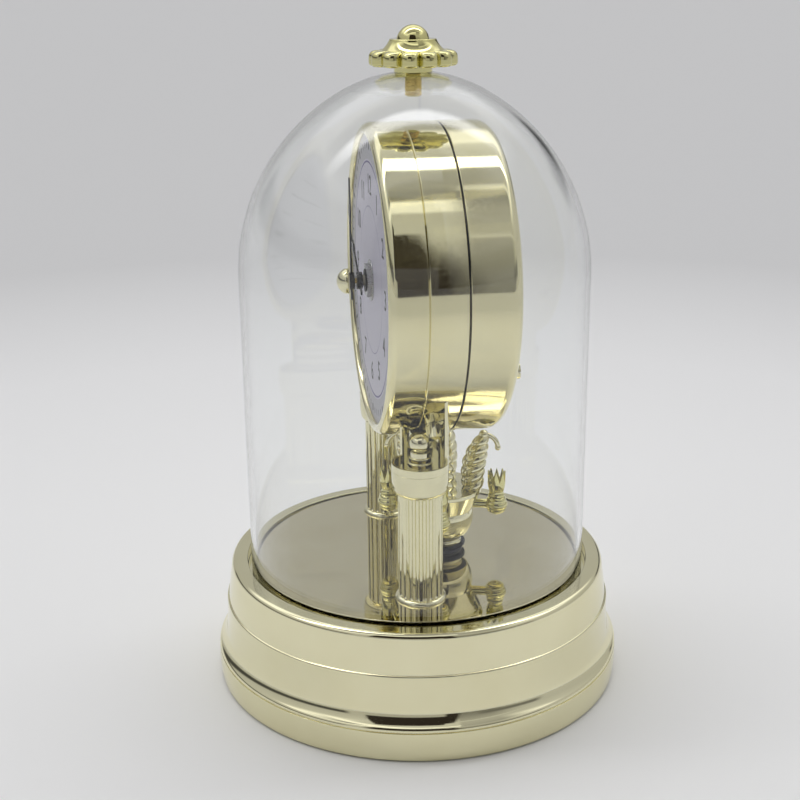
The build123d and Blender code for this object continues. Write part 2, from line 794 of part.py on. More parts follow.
def minuteWheel():
    low = movementBack - looseGap - knobHeight / 2
    gap = 180.0 / minuteWheelTeeth
    wheel = spurWheel(minuteWheelTeeth, cannonTeeth, -90.0 + gap)
    pinion = spurWheel(minutePinionTeeth, hourWheelTeeth, -90.0)
    stack = Pos(0, 0, wheelBack()) * extrude(wheel, amount=wheelThickness)
    pinionBase = wheelBack() + wheelThickness
    stack += Pos(0, 0, pinionBase) * extrude(pinion, amount=wheelGap + wheelThickness)
    stack += post(arborRadius, low, dialBack - movementWall - looseGap)
    return onDrum(Pos(0, wheelSpacing, 0) * stack)


def settingKnob():
    top = movementBack - looseGap
    notches = [Pos(x, y) * Circle(0.9) for x, y in polarSpots(knobRadius + 0.3, knobScallops)]
    knob = Pos(0, 0, top - knobHeight) * extrude(Circle(knobRadius) - notches, amount=knobHeight)
    knob -= post(arborRadius + snugFit, top - knobHeight / 2, top)
    return onDrum(Pos(0, wheelSpacing, 0) * knob)


# A slim hand with a pointed leaf near its tip, lying along +Y before it is turned to the hour.
def handBlade(length, angle, bossBack, bossHeight, bore):
    tail = handBossRadius * 2.2
    half = [(0.8, -tail), (0.65, length * 0.55), (2.1, length * 0.68), (0.55, length * 0.82)]
    outline = [(-x, y) for x, y in half] + [(0, length)] + [(x, y) for x, y in reversed(half)]
    blade = make_face(Polyline(*outline, close=True))
    low = bossBack + (bossHeight - handThickness) / 2
    hand = Pos(0, 0, low) * extrude(blade, amount=handThickness)
    hand += post(handBossRadius, bossBack, bossBack + bossHeight)
    hand -= post(bore + snugFit, bossBack, bossBack + bossHeight)
    return onDrum(Rot(0, 0, -angle) * hand)


def hourHand():
    return handBlade(hourLength, hourAngle, hourBossBack, hourBossHeight, pipeRadius)


def minuteHand():
    return handBlade(minuteLength, minuteAngle, minuteBossBack, minuteBossHeight, arborRadius)


def handCap():
    low = minuteBossBack + minuteBossHeight
    shoulder = low + handCapHeight * 0.3
    outline = Polyline((0, low), (handCapRadius, low), (handCapRadius, shoulder))
    outline += capArc(handCapRadius, shoulder, low + handCapHeight)
    outline += Line((0, low + handCapHeight), (0, low))
    return onDrum(turned(outline) - post(arborRadius + snugFit, low, low + handCapHeight / 2 + snugFit))


def onPendulum(shape):
    return Pos(0, pendulumY, 0) * shape


def suspensionHook():
    seat = drumBottom + caseWall
    low = drumBottom - hookDrop
    high = seat + 1.2
    flange = post(hookFlangeRadius, seat - 0.5, high, 0, pendulumY)
    flange &= drumCutter(caseRadius - caseWall - snugFit)
    stud = post(hookRadius, low, high, 0, pendulumY)
    return flange + stud - post(wireRadius + runningFit, low, high, 0, pendulumY)


def suspensionWire():
    top = drumBottom + caseWall + 1.2 + runningFit
    stop = post(wireRadius * 3, top, top + 1.2)
    return onPendulum(post(wireRadius, hubTop - stemDepth, top) + stop)


def pendulumHub():
    waistZ = hubBottom + hubWaistHeight
    cavityTop = hubBottom + hubCavityHeight
    outline = Line((hubCavityRadius, hubBottom), (hubFootRadius, hubBottom))
    outline += ThreePointArc((hubFootRadius, hubBottom),
                             (hubWaistRadius - hubFootInset * 0.38, hubBottom + hubWaistHeight * 0.5),
                             (hubWaistRadius, waistZ))
    outline += Polyline((hubWaistRadius, waistZ), (hubRimRadius, hubTop - hubRim), (hubRimRadius, hubTop), (0, hubTop), (0, cavityTop),
                        (hubCavityRadius, cavityTop), (hubCavityRadius, hubBottom))
    hub = turned(outline) - post(wireRadius + snugFit, hubTop - stemDepth, hubTop)
    stemHole = Rot(0, 90, 0) * post(stemRadius + snugFit, hubWaistRadius - stemDepth, ballReach)
    for i in range(armCount):
        turn = Rot(0, 0, firstArmAngle + 360.0 / armCount * i)
        hub -= turn * (Pos(0, 0, ballZ) * stemHole)
        hub -= turn * post(hornTenonRadius + snugFit, hubTop - hornTenonLength, hubTop, hornRadius)
    return onPendulum(hub)


def pendulumMagnet():
    inner = spindleShaftRadius + snugFit
    return onPendulum(ringTurned(inner, hubCavityRadius - snugFit, hubBottom, hubBottom + magnetHeight))


def pendulumSpindle():
    pinLow = mirrorZ + looseGap + 0.2
    flangeTop = flangeBottom + spindleFlange
    collarLow = hubBottom - spindleFlange
    neckZ = (flangeTop + collarLow) / 2
    outline = Polyline((0, pinLow), (guidePinRadius, pinLow), (guidePinRadius, flangeBottom),
                       (spindleFlangeRadius, flangeBottom), (spindleFlangeRadius, flangeTop),
                       (spindleCollarRadius, flangeTop))
    outline += ThreePointArc((spindleCollarRadius, flangeTop), (spindleNeckRadius, neckZ),
                             (spindleCollarRadius, collarLow))
    outline += Polyline((spindleCollarRadius, collarLow), (spindleCollarRadius, hubBottom),
                        (spindleShaftRadius, hubBottom), (spindleShaftRadius, hubBottom + hubCavityHeight),
                        (0, hubBottom + hubCavityHeight), (0, pinLow))
    return onPendulum(turned(outline))


def guideCup():
    bore = guidePinRadius + runningFit
    top = mirrorZ + guideCupHeight
    outline = Line((0, mirrorZ), (guideCupRadius, mirrorZ))
    outline += ThreePointArc((guideCupRadius, mirrorZ), (guideCupRadius - 0.4, mirrorZ + guideCupHeight * 0.7),
                             (guideCupRadius - guideCupHeight, top))
    outline += Polyline((guideCupRadius - guideCupHeight, top), (bore, top), (bore, mirrorZ + looseGap),
                        (0, mirrorZ + looseGap), (0, mirrorZ))
    return onPendulum(turned(outline))


def onArm(shape, index):
    return onPendulum(Rot(0, 0, firstArmAngle + 360.0 / armCount * index) * shape)


# A horn with slanting ribs that stands on the hub rim, leans out and ends in a bead and a drooping curl.
def scrollHorn():
    tipZ = hubTop + hornHeight
    tipRadius = hornRadius + hornLean
    spine = ThreePointArc((hornRadius, 0, hubTop - 2),
                          (hornRadius - hornBow, 0, hubTop + hornHeight * 0.5), (tipRadius, 0, tipZ))
    sections = []
    for i in range(hornBands + 1):
        share = i / hornBands
        rib = 1 + hornRib * (1 if i % 2 else -1)
        radius = hornFootRadius + (hornTipRadius - hornFootRadius) * share ** hornTaper
        radius = (radius + hornSwell * sin(pi * share)) * rib
        along = (spine % share).rotate(Axis.Y, -ribAngle)
        across = Plane(origin=spine @ share, x_dir=(0, 1, 0), z_dir=along)
        sections.append(across * Circle(radius))
    horn = loft(sections, ruled=True)
    horn -= post(hornFootRadius * 2, hubTop - hornHeight, hubTop, hornRadius)
    curlEnd = (tipRadius + curlReach, 0, tipZ - curlDrop)
    curlMid = (tipRadius + curlReach * 0.7, 0, tipZ - curlDrop * 0.28)
    curl = ThreePointArc((tipRadius, 0, tipZ), curlMid, curlEnd)
    horn += sweep(Plane(origin=curl @ 0, z_dir=curl % 0) * Circle(curlRadius), path=curl)
    horn += Pos(*curlEnd) * Sphere(curlRadius * 1.25)
    horn += Pos(tipRadius, 0, tipZ) * Sphere(beadRadius)
    return horn + post(hornTenonRadius, hubTop - hornTenonLength, hubTop + hornTenonLength, hornRadius)


def polarPoint(reach, angle):
    return (reach * cos(radians(angle)), reach * sin(radians(angle)))


# A turned ball of rounded rings, flat at both ends.
def ringedBall():
    groove = ballRadius - ballRingDepth
    step = 2 * ballEndAngle / ballRings
    start = polarPoint(groove, -ballEndAngle)
    end = polarPoint(groove, ballEndAngle)
    outline = Line((0, start[1]), start)
    for i in range(ballRings):
        low = -ballEndAngle + step * i
        outline += ThreePointArc(polarPoint(groove, low), polarPoint(ballRadius, low + step / 2),
                                 polarPoint(groove, low + step))
    outline += Polyline(end, (0, end[1]), (0, start[1]))
    return turned(outline)


def pendulumBall():
    stem = Rot(0, 90, 0) * post(stemRadius, hubWaistRadius - stemDepth, ballReach)
    stem = Pos(0, 0, ballZ) * stem
    button = Pos(ballReach, 0, 2 * ballZ - ballTop) * Sphere(postRadius)
    pin = post(postRadius, ballZ, ballTop + postHeight, ballReach)
    return stem + Pos(ballReach, 0, ballZ) * ringedBall() + button + pin


def pendulumCoronet():
    low = ballTop
    waistZ = low + coronetHeight * 0.18
    lipZ = low + coronetHeight * 0.52
    top = low + coronetHeight
    inner = coronetRadius - coronetWall
    bore = postRadius + snugFit
    outline = Polyline((bore, low), (coronetFoot, low), (coronetFoot, low + coronetWall),
                       (coronetWaist, waistZ))
    outline += ThreePointArc((coronetWaist, waistZ), (coronetRadius - 0.3, waistZ + coronetHeight * 0.14),
                             (coronetRadius, lipZ))
    outline += Polyline((coronetRadius, lipZ), (coronetRadius, top), (inner, top), (inner, lipZ),
                        (bore, low + postHeight), (bore, low))
    cup = turned(outline)
    half = coronetRadius * pi / coronetPoints
    vee = Polyline((-half, top + 0.1), (half, top + 0.1), (0, lipZ + 0.5), close=True)
    notch = extrude(Plane.YZ * make_face(vee), amount=coronetRadius + 1)
    for i in range(coronetPoints):
        cup -= Rot(0, 0, 360.0 / coronetPoints * i) * notch
    return Pos(ballReach, 0, 0) * cup


def allParts():
    rightColumn = Pos(columnX, columnY, 0) * column()
    rightSaddle = saddle()
    nodes = {
        "base_shell": baseShell(),
        "mirror_platform": mirrorPlatform(),
        "bottom_cover": bottomCover(),
        "bottom_cover_screws": coverScrews(),
        "battery_door": batteryDoor(),
        "rubber_feet": rubberFeet(),
        "drive_battery": inBase(batteryCell()),
        "drive_contacts": inBase(contactPair(bayLength)),
        "drive_bobbin": driveBobbin(),
        "drive_winding": driveWinding(),
        "drive_board": driveBoard(),
        "column_right": rightColumn,
        "column_left": mirror(rightColumn, about=Plane.YZ),
        "tie_rods": tieRods(),
        "saddle_right": rightSaddle,
        "saddle_left": mirror(rightSaddle, about=Plane.YZ),
        "saddle_washers": saddleWashers(),
        "saddle_cap_nuts": saddleNuts(),
        "saddle_screws": lugScrews(),
        "guide_cup": guideCup(),
        "glass_dome": glassDome(),
        "dome_finial": domeFinial(),
        "finial_nut": finialNut(),
        "drum_bezel": drumBezel(),
        "drum_body": drumBody(),
        "rear_cover": rearCover(),
        "rear_cover_screws": rearCoverScrews(),
        "dial": dialPlate(),
        "movement_front_case": movementFrontCase(),
        "movement_rear_case": movementRearCase(),
        "motor_unit": motorUnit(),
        "movement_battery": inMovement(batteryCell()),
        "movement_contacts": inMovement(contactPair(movementSide - 2 * movementWall)),
        "bush_washer": bushWasher(),
        "bush_nut": bushNut(),
        "minute_arbor": minuteArbor(),
        "minute_wheel": minuteWheel(),
        "hour_wheel": hourWheel(),
        "setting_knob": settingKnob(),
        "hour_hand": hourHand(),
        "minute_hand": minuteHand(),
        "hand_cap": handCap(),
        "suspension_hook": suspensionHook(),
        "suspension_wire": suspensionWire(),
        "pendulum_hub": pendulumHub(),
        "pendulum_magnet": pendulumMagnet(),
        "pendulum_spindle": pendulumSpindle(),
    }
    horn = scrollHorn()
    ball = pendulumBall()
    coronet = pendulumCoronet()
    for i in range(armCount):
        nodes[f"scroll_horn_{i + 1}"] = onArm(horn, i)
        nodes[f"pendulum_ball_{i + 1}"] = onArm(ball, i)
        nodes[f"ball_coronet_{i + 1}"] = onArm(coronet, i)
    return nodes


os.makedirs("parts", exist_ok=True)
for name, shape in allParts().items():
    export_step(shape, f"parts/{name}.step")
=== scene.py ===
from math import acos, asin, atan2, cos, hypot, pi, radians, sin, sqrt, tan, tau

import bmesh
import bpy
from mathutils import Matrix, Vector


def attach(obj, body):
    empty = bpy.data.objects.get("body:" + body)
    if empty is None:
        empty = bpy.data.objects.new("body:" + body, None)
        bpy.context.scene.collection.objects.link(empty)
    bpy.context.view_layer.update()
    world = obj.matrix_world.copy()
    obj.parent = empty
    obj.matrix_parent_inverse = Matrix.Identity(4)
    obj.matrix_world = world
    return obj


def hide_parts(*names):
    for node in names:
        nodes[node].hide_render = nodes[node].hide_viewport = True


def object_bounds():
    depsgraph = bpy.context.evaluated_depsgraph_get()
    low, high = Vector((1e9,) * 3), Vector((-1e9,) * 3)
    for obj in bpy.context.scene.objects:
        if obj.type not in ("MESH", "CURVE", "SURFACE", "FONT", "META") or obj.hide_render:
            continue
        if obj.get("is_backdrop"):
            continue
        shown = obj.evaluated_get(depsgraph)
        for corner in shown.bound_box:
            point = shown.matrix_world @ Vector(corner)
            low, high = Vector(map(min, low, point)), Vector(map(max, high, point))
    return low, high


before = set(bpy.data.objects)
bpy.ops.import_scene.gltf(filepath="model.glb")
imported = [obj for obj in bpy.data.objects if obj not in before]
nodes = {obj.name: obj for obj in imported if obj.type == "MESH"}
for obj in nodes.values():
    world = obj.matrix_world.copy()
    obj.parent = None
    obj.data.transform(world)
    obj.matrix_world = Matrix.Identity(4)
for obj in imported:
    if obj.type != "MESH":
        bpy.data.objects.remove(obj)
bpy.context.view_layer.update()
scene = bpy.context.scene
mm = 0.001
tiny = 1e-6
print("frame loaded:", len(nodes), "nodes")

# Shared places, in millimetres
place = {"mirrorZ": 44.65, "deckZ": 42.65, "drumZ": 148.0, "columnX": 39.4, "columnY": -5.5,
         "pendulumY": 10.0, "hubLift": 6.9, "hubHeight": 17.7, "shaftRise": 38.7, "capitalRise": 8.3}
place["hubBottom"] = place["mirrorZ"] + place["hubLift"]
place["hubTop"] = place["hubBottom"] + place["hubHeight"]
place["shaftTop"] = place["mirrorZ"] + place["shaftRise"]
place["capitalTop"] = place["shaftTop"] + place["capitalRise"]
arms = {"count": 4, "first": 75.0}


# Node helpers for materials
def newShader(name):
    material = bpy.data.materials.new(name)
    material.use_nodes = True
    tree = material.node_tree
    tree.nodes.clear()
    output = tree.nodes.new("ShaderNodeOutputMaterial")
    surface = tree.nodes.new("ShaderNodeBsdfPrincipled")
    tree.links.new(surface.outputs["BSDF"], output.inputs["Surface"])
    return material, tree, surface


# Fill the inputs of a node: sockets are linked, plain values are set
def fill(tree, node, inputs):
    for key, value in inputs.items():
        if isinstance(value, bpy.types.NodeSocket):
            tree.links.new(value, node.inputs[key])
        else:
            node.inputs[key].default_value = value


def addNode(tree, kind, inputs, **settings):
    node = tree.nodes.new("ShaderNode" + kind)
    for name, value in settings.items():
        setattr(node, name, value)
    fill(tree, node, inputs)
    return node.outputs


def objectCoords(tree, scale=(1, 1, 1), location=(0, 0, 0)):
    coords = addNode(tree, "TexCoord", {})["Object"]
    return addNode(tree, "Mapping", {"Vector": coords, "Location": location, "Scale": scale})["Vector"]


def splitAxes(tree, vector):
    return addNode(tree, "SeparateXYZ", {0: vector})


def lengthOf(tree, vector):
    return addNode(tree, "VectorMath", {0: vector}, operation="LENGTH")["Value"]


def noiseOn(tree, vector, scale, detail=3.0, roughness=0.5):
    inputs = {"Vector": vector, "Scale": scale, "Detail": detail, "Roughness": roughness}
    return addNode(tree, "TexNoise", inputs)["Fac"]


def remap(tree, value, low, high, fromLow=0.3, fromHigh=0.7):
    inputs = {"Value": value, "From Min": fromLow, "From Max": fromHigh, "To Min": low, "To Max": high}
    return addNode(tree, "MapRange", inputs)["Result"]


def mixColors(tree, factor, *colors):
    first, second = ((*color, 1.0) if isinstance(color, tuple) else color for color in colors)
    return addNode(tree, "Mix", {0: factor, 6: first, 7: second}, data_type="RGBA")[2]


def bumpOf(tree, height, strength, distance):
    return addNode(tree, "Bump", {"Height": height, "Strength": strength, "Distance": distance})["Normal"]


def mathOf(tree, operation, *values):
    return addNode(tree, "Math", dict(enumerate(values)), operation=operation)[0]


# Bright plating over moulded plastic: mirror-like, with a slow ripple and faint wiping haze
def platingFinish(name, color, shade, haze=(0.035, 0.11), ripple=0.12, joint=None, footShade=None):
    material, tree, surface = newShader(name)
    vector = objectCoords(tree)
    slow = noiseOn(tree, vector, 46.0, 2.0)
    fine = noiseOn(tree, vector, 900.0, 3.0)
    tone = mixColors(tree, remap(tree, slow, 0.0, 1.0), color, shade)
    # painted shade: the inside of the drum's joint is darkened
    if joint:
        tone = mixColors(tree, jointMask(tree, joint), tone, joint["tone"])
    # painted shade: below a given height the plating turns near-black
    if footShade:
        shadedBelow = mathOf(tree, "LESS_THAN", splitAxes(tree, vector)["Z"], footShade["z"] * mm)
        tone = mixColors(tree, shadedBelow, tone, footShade["tone"])
    fill(tree, surface, {"Base Color": tone, "Roughness": remap(tree, fine, *haze), "Metallic": 1.0,
                         "Normal": bumpOf(tree, slow, ripple, 0.0006)})
    return material


# One down inside the joint round the drum, where painted shade darkens the plating
def jointMask(tree, joint):
    axes = splitAxes(tree, objectCoords(tree, location=(0, 0, -place["drumZ"] * mm)))
    along = mathOf(tree, "COMPARE", axes["Y"], joint["y"] * mm, joint["half"] * mm)
    squares = [mathOf(tree, "POWER", axes[axis], 2.0) for axis in ("X", "Z")]
    deep = mathOf(tree, "LESS_THAN", mathOf(tree, "ADD", *squares), (joint["radius"] * mm) ** 2)
    return mathOf(tree, "MULTIPLY", along, deep)


def mirrorFinish():
    material, tree, surface = newShader("tinted mirror")
    vector = objectCoords(tree)
    cloud = remap(tree, noiseOn(tree, vector, 60.0, 4.0), 0.0, 1.0)
    haze = remap(tree, noiseOn(tree, vector, 1400.0), 0.012, 0.03)
    tone = mixColors(tree, cloud, (0.72, 0.67, 0.48), (0.68, 0.625, 0.43))
    fill(tree, surface, {"Base Color": tone, "Roughness": haze, "Metallic": 1.0})
    return material


def glassFinish():
    material, tree, surface = newShader("clear glass")
    vector = objectCoords(tree, scale=(1, 1, 0.35))
    haze = remap(tree, noiseOn(tree, vector, 500.0), 0.0, 0.012)
    ripple = bumpOf(tree, noiseOn(tree, vector, 24.0, 1.0), 0.05, 0.0005)
    fill(tree, surface, {"Base Color": (0.985, 0.992, 0.99, 1.0), "Transmission Weight": 1.0, "IOR": 1.46,
                         "Roughness": haze, "Normal": ripple})
    return material


def moldedFinish(name, color, grain=1600.0, rough=(0.42, 0.6)):
    material, tree, surface = newShader(name)
    vector = objectCoords(tree)
    fine = noiseOn(tree, vector, grain, 4.0, 0.6)
    broad = noiseOn(tree, vector, 55.0, 2.0)
    lighter = tuple(min(1.0, channel * 1.25 + 0.01) for channel in color)
    tone = mixColors(tree, remap(tree, broad, 0.0, 1.0), color, lighter)
    fill(tree, surface, {"Base Color": tone, "Roughness": remap(tree, fine, *rough),
                         "Normal": bumpOf(tree, fine, 0.25, 0.00008)})
    return material


def metalFinish(name, color, rough=(0.22, 0.4), grain=(300.0, 300.0, 2600.0)):
    material, tree, surface = newShader(name)
    lines = noiseOn(tree, objectCoords(tree, scale=grain), 1.0, 3.0)
    darker = tuple(channel * 0.82 for channel in color)
    tone = mixColors(tree, remap(tree, lines, 0.0, 1.0), color, darker)
    fill(tree, surface, {"Base Color": tone, "Roughness": remap(tree, lines, *rough), "Metallic": 1.0,
                         "Normal": bumpOf(tree, lines, 0.12, 0.00003)})
    return material


# Printed dial: radius from the hand axis picks the zones, so the bands stay round
def dialFinish():
    zones = {"edge": 41.6, "blur": 0.15, "outerRing": (40.5, 41.1), "innerRing": (25.5, 25.75)}
    material, tree, surface = newShader("printed dial")
    vector = objectCoords(tree, location=(0, 0, -place["drumZ"] * mm))
    axes = splitAxes(tree, vector)
    radius = lengthOf(tree, addNode(tree, "CombineXYZ", {axis: axes[axis] for axis in ("X", "Z")})[0])
    outside = remap(tree, radius, 0.0, 1.0, zones["edge"] * mm, (zones["edge"] + zones["blur"]) * mm)
    fibre = remap(tree, noiseOn(tree, vector, 700.0), 0.0, 1.0)
    centre = mixColors(tree, fibre, (0.80, 0.77, 0.90), (0.76, 0.73, 0.87))
    border = mixColors(tree, fibre, (0.66, 0.65, 0.72), (0.62, 0.61, 0.68))
    tone = mixColors(tree, outside, centre, border)
    for ring, color in (("outerRing", (0.16, 0.13, 0.36)), ("innerRing", (0.30, 0.27, 0.48))):
        low, high = zones[ring]
        inside = mathOf(tree, "COMPARE", radius, (low + high) / 2 * mm, (high - low) / 2 * mm)
        tone = mixColors(tree, inside, tone, color)
    fill(tree, surface, {"Base Color": tone, "Roughness": 0.38})
    return material


champagne = ((0.85, 0.81, 0.56), (0.82, 0.775, 0.52))
finish = {
    "champagne": platingFinish("champagne plating", *champagne),
    # the drum's joint is painted dark brown, as shade inside the seam
    "drumGold": platingFinish("drum plating with painted seam shade", (0.85, 0.80, 0.53), (0.82, 0.765, 0.49), haze=(0.03, 0.09),
                              joint={"y": 8.4, "half": 0.28, "radius": 53.8, "tone": (0.16, 0.135, 0.08)}),
    "yellowGold": platingFinish("yellow gold plating", (0.76, 0.72, 0.37), (0.72, 0.675, 0.31),
                                haze=(0.04, 0.12)),
    # the spindle's foot under the hub is painted near-black, as shade
    "spindle": platingFinish("spindle plating with painted shade", *champagne, footShade={"z": 47.6, "tone": (0.02, 0.022, 0.04)}),
    "mirror": mirrorFinish(),
    "glass": glassFinish(),
    "dial": dialFinish(),
    "ink": moldedFinish("dial ink", (0.018, 0.016, 0.03), 900.0, (0.4, 0.5)),
    "handPaint": moldedFinish("hand lacquer", (0.016, 0.016, 0.02), 1200.0, (0.18, 0.3)),
    "blackPlastic": moldedFinish("black moulding", (0.022, 0.022, 0.025)),
    "creamPlastic": moldedFinish("cream moulding", (0.62, 0.58, 0.46)),
    "rubber": moldedFinish("foot rubber", (0.03, 0.03, 0.03), 2200.0, (0.7, 0.85)),
    "ferrite": moldedFinish("ferrite", (0.012, 0.014, 0.03), 1800.0, (0.3, 0.45)),
    "steel": metalFinish("zinc steel", (0.62, 0.62, 0.63)),
    "brass": metalFinish("turned brass", (0.80, 0.60, 0.24), (0.15, 0.3)),
    "copper": metalFinish("enamelled winding", (0.70, 0.28, 0.10), (0.2, 0.35), (80.0, 80.0, 5200.0)),
    "board": moldedFinish("board laminate", (0.02, 0.12, 0.04), 700.0, (0.25, 0.4)),
    "cell": moldedFinish("cell sleeve", (0.05, 0.055, 0.075), 500.0, (0.2, 0.32)),
}
print("materials:", len(finish))


# Mesh helpers: everything is laid out in millimetres and turned into metres at the end
def polar(radius, angle):
    return radius * cos(angle), radius * sin(angle)


# Points on a circle about a middle, from one angle to another
def arc(middle, radius, first, last, count):
    spots = [polar(radius, first + (last - first) * k / count) for k in range(count + 1)]
    return [(middle[0] + x, middle[1] + y) for x, y in spots]


# An arc of points from start to end, by way of a third point
def bow(start, through, end, count=10):
    (ax, ay), (bx, by), (cx, cy) = start, through, end
    spread = 2 * (ax * (by - cy) + bx * (cy - ay) + cx * (ay - by))
    aa, bb, cc = ax ** 2 + ay ** 2, bx ** 2 + by ** 2, cx ** 2 + cy ** 2
    midX = (aa * (by - cy) + bb * (cy - ay) + cc * (ay - by)) / spread
    midY = (aa * (cx - bx) + bb * (ax - cx) + cc * (bx - ax)) / spread
    radius = hypot(ax - midX, ay - midY)
    first, middle, last = (atan2(y - midY, x - midX) for x, y in (start, through, end))
    sweep = (last - first) % tau
    if (middle - first) % tau > sweep:
        sweep -= tau
    return arc((midX, midY), radius, first, first + sweep, count)


# A quarter round between two points, bulging towards the corner between them
def quarter(start, corner, end, count):
    pull = 1 - sqrt(0.5)
    through = tuple(c + (a + b - 2 * c) * pull for a, b, c in zip(start, end, corner))
    return bow(start, through, end, count)


# Round every hard corner of an outline by a small radius, so that edges catch the light
def softened(outline, radius, steps=4):
    soft, gentle, most = [], radians(22), 0.4  # bends left as they are, share of an edge used up
    for i, point in enumerate(outline):
        here = Vector(point)
        if here.x < tiny:
            soft.append(point)
            continue
        back = Vector(outline[i - 1]) - here
        ahead = Vector(outline[(i + 1) % len(outline)]) - here
        if back.length < tiny or ahead.length < tiny:
            continue
        bend = pi - back.angle(ahead)
        if bend < gentle:
            soft.append(point)
            continue
        trim = min(radius * tan(bend / 2), back.length * most, ahead.length * most)
        start = here + back.normalized() * trim
        end = here + ahead.normalized() * trim
        for share in (k / steps for k in range(steps + 1)):
            soft.append(tuple(start * (1 - share) ** 2 + here * 2 * share * (1 - share) + end * share ** 2))
    return soft


# Outline of a plain ring, or of a disc where the inner radius is nought
def ringOutline(inner, outer, low, high):
    return [(inner, low), (outer, low), (outer, high), (inner, high)]


# Turn an outline of (radius, height) about Z; points on the axis become poles, and an outline
# that starts there stays open
def spun(outline, steps=96):
    verts, rows, faces = [], [], []
    for radius, height in outline:
        count = steps if radius > tiny else 1
        rows.append(range(len(verts), len(verts) + count))
        verts += [Vector((*polar(radius, tau * k / steps), height)) for k in range(count)]
    onward = rows[1:] + rows[:1] if outline[0][0] > tiny else rows[1:]
    for low, high in zip(rows, onward):
        stitch(faces, low, high, steps)
    return verts, faces


def turned(outline, soft, steps):
    return spun(softened(outline, soft), steps)


# Faces between two rows of points, either of which may be a single pole
def stitch(faces, low, high, steps):
    for k in range(steps if len(low) + len(high) > 2 else 0):
        j = (k + 1) % steps
        corners = [row[i % len(row)] for row, i in ((low, k), (low, j), (high, j), (high, k))]
        faces.append(tuple(dict.fromkeys(corners)))


# Stack closed rings of points, from the first to the last, and cap both ends with a fan
def stacked(rings):
    steps, faces = len(rings[0]), []
    verts = [Vector(point) for ring in rings for point in ring]
    rows = [range(i * steps, (i + 1) * steps) for i in range(len(rings))]
    for low, high in zip(rows, rows[1:]):
        stitch(faces, low, high, steps)
    for row in (rows[0], rows[-1]):
        verts.append(sum((verts[i] for i in row), Vector()) / steps)
        stitch(faces, row, [len(verts) - 1], steps)
    return verts, faces


def joined(*forms):
    verts, faces = [], []
    for formVerts, formFaces in forms:
        start = len(verts)
        verts.extend(formVerts)
        faces.extend(tuple(i + start for i in face) for face in formFaces)
    return verts, faces


def moved(form, matrix):
    return [matrix @ vert for vert in form[0]], form[1]


def at(x, y, z=0.0):
    return Matrix.Translation((x, y, z))


# Lay a form that was turned about Z on the drum's axis, its top towards the dial
def onDrum(form):
    return moved(form, Matrix(((1, 0, 0, 0), (0, 0, -1, 0), (0, 1, 0, place["drumZ"]), (0, 0, 0, 1))))


def onPendulum(form):
    return moved(form, at(0, place["pendulumY"]))


def onArm(form, index):
    turn = Matrix.Rotation(radians(arms["first"] + 360 / arms["count"] * index), 4, "Z")
    return moved(form, at(0, place["pendulumY"]) @ turn)


def mirrored(form):
    verts = [Vector((-vert.x, vert.y, vert.z)) for vert in form[0]]
    return verts, [tuple(reversed(face)) for face in form[1]]


# The form that an object has once its modifiers have run
def evaluated(holder):
    scene.collection.objects.link(holder)
    graph = bpy.context.evaluated_depsgraph_get()
    mesh = bpy.data.meshes.new_from_object(holder.evaluated_get(graph))
    bpy.data.objects.remove(holder)
    return [vert.co / mm for vert in mesh.vertices], [tuple(face.vertices) for face in mesh.polygons]


def meshFrom(name, form):
    mesh = bpy.data.meshes.new(name)
    mesh.from_pydata([vert * mm for vert in form[0]], [], form[1])
    work = bmesh.new()
    work.from_mesh(mesh)
    bmesh.ops.remove_doubles(work, verts=work.verts, dist=1e-7)
    bmesh.ops.recalc_face_normals(work, faces=work.faces)
    work.to_mesh(mesh)
    work.free()
    return mesh


# Make a piece, weigh its normals by face size, attach it to its body and hide its CAD node
def makePiece(name, form, look, body, sharp=None):
    mesh = meshFrom(name, form)
    mesh.shade_smooth()
    if sharp:
        mesh.set_sharp_from_angle(angle=radians(sharp))
    piece = bpy.data.objects.new(name.replace(" ", "-"), mesh)
    scene.collection.objects.link(piece)
    weigh = piece.modifiers.new("weigh", "WEIGHTED_NORMAL")
    weigh.keep_sharp = True
    graph = bpy.context.evaluated_depsgraph_get()
    solid = bpy.data.meshes.new_from_object(piece.evaluated_get(graph))
    piece.modifiers.clear()
    piece.data = solid
    solid.name = name
    solid.materials.clear()
    solid.materials.append(finish[look])
    node = name.replace(" ", "_")
    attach(piece, body)
    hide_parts(*([node] if node in nodes else []))
    return piece


# A flat plate between two heights from a closed outline of (x, y)
def slab(outline, low, high):
    count = len(outline)
    verts = [Vector((x, y, low)) for x, y in outline] + [Vector((x, y, high)) for x, y in outline]
    faces = [tuple(range(count)), tuple(range(2 * count - 1, count - 1, -1))]
    for k in range(count):
        j = (k + 1) % count
        faces.append((k, j, count + j, count + k))
    return verts, faces


def ball(radius, centre, steps=32):
    return moved(spun(arc((0, 0), radius, -pi / 2, pi / 2, 18), steps), at(*centre))


# A circle of points about a place, square to a direction that lies in the XZ plane
def hoop(centre, along, radius, steps):
    side = Vector((0, 1, 0))
    rise = along.cross(side)
    angles = [tau * k / steps for k in range(steps)]
    return [Vector(centre) + radius * (cos(angle) * side + sin(angle) * rise) for angle in angles]


# A round bar along a path of points lying in the XZ plane
def bar(path, radius, steps=24):
    rings = []
    for i, point in enumerate(path):
        along = Vector(path[min(i + 1, len(path) - 1)]) - Vector(path[max(i - 1, 0)])
        rings.append(hoop(point, along.normalized(), radius, steps))
    return stacked(rings)


# A shallow dome of a given radius and height, from its edge up to its pole
def capOutline(radius, low, top, count=10):
    rise = top - low
    bend = (radius ** 2 + rise ** 2) / (2 * rise)
    half = atan2(radius, bend - rise) / 2
    through = (bend * sin(half), top - bend + bend * cos(half))
    return bow((radius, low), through, (0, top), count)


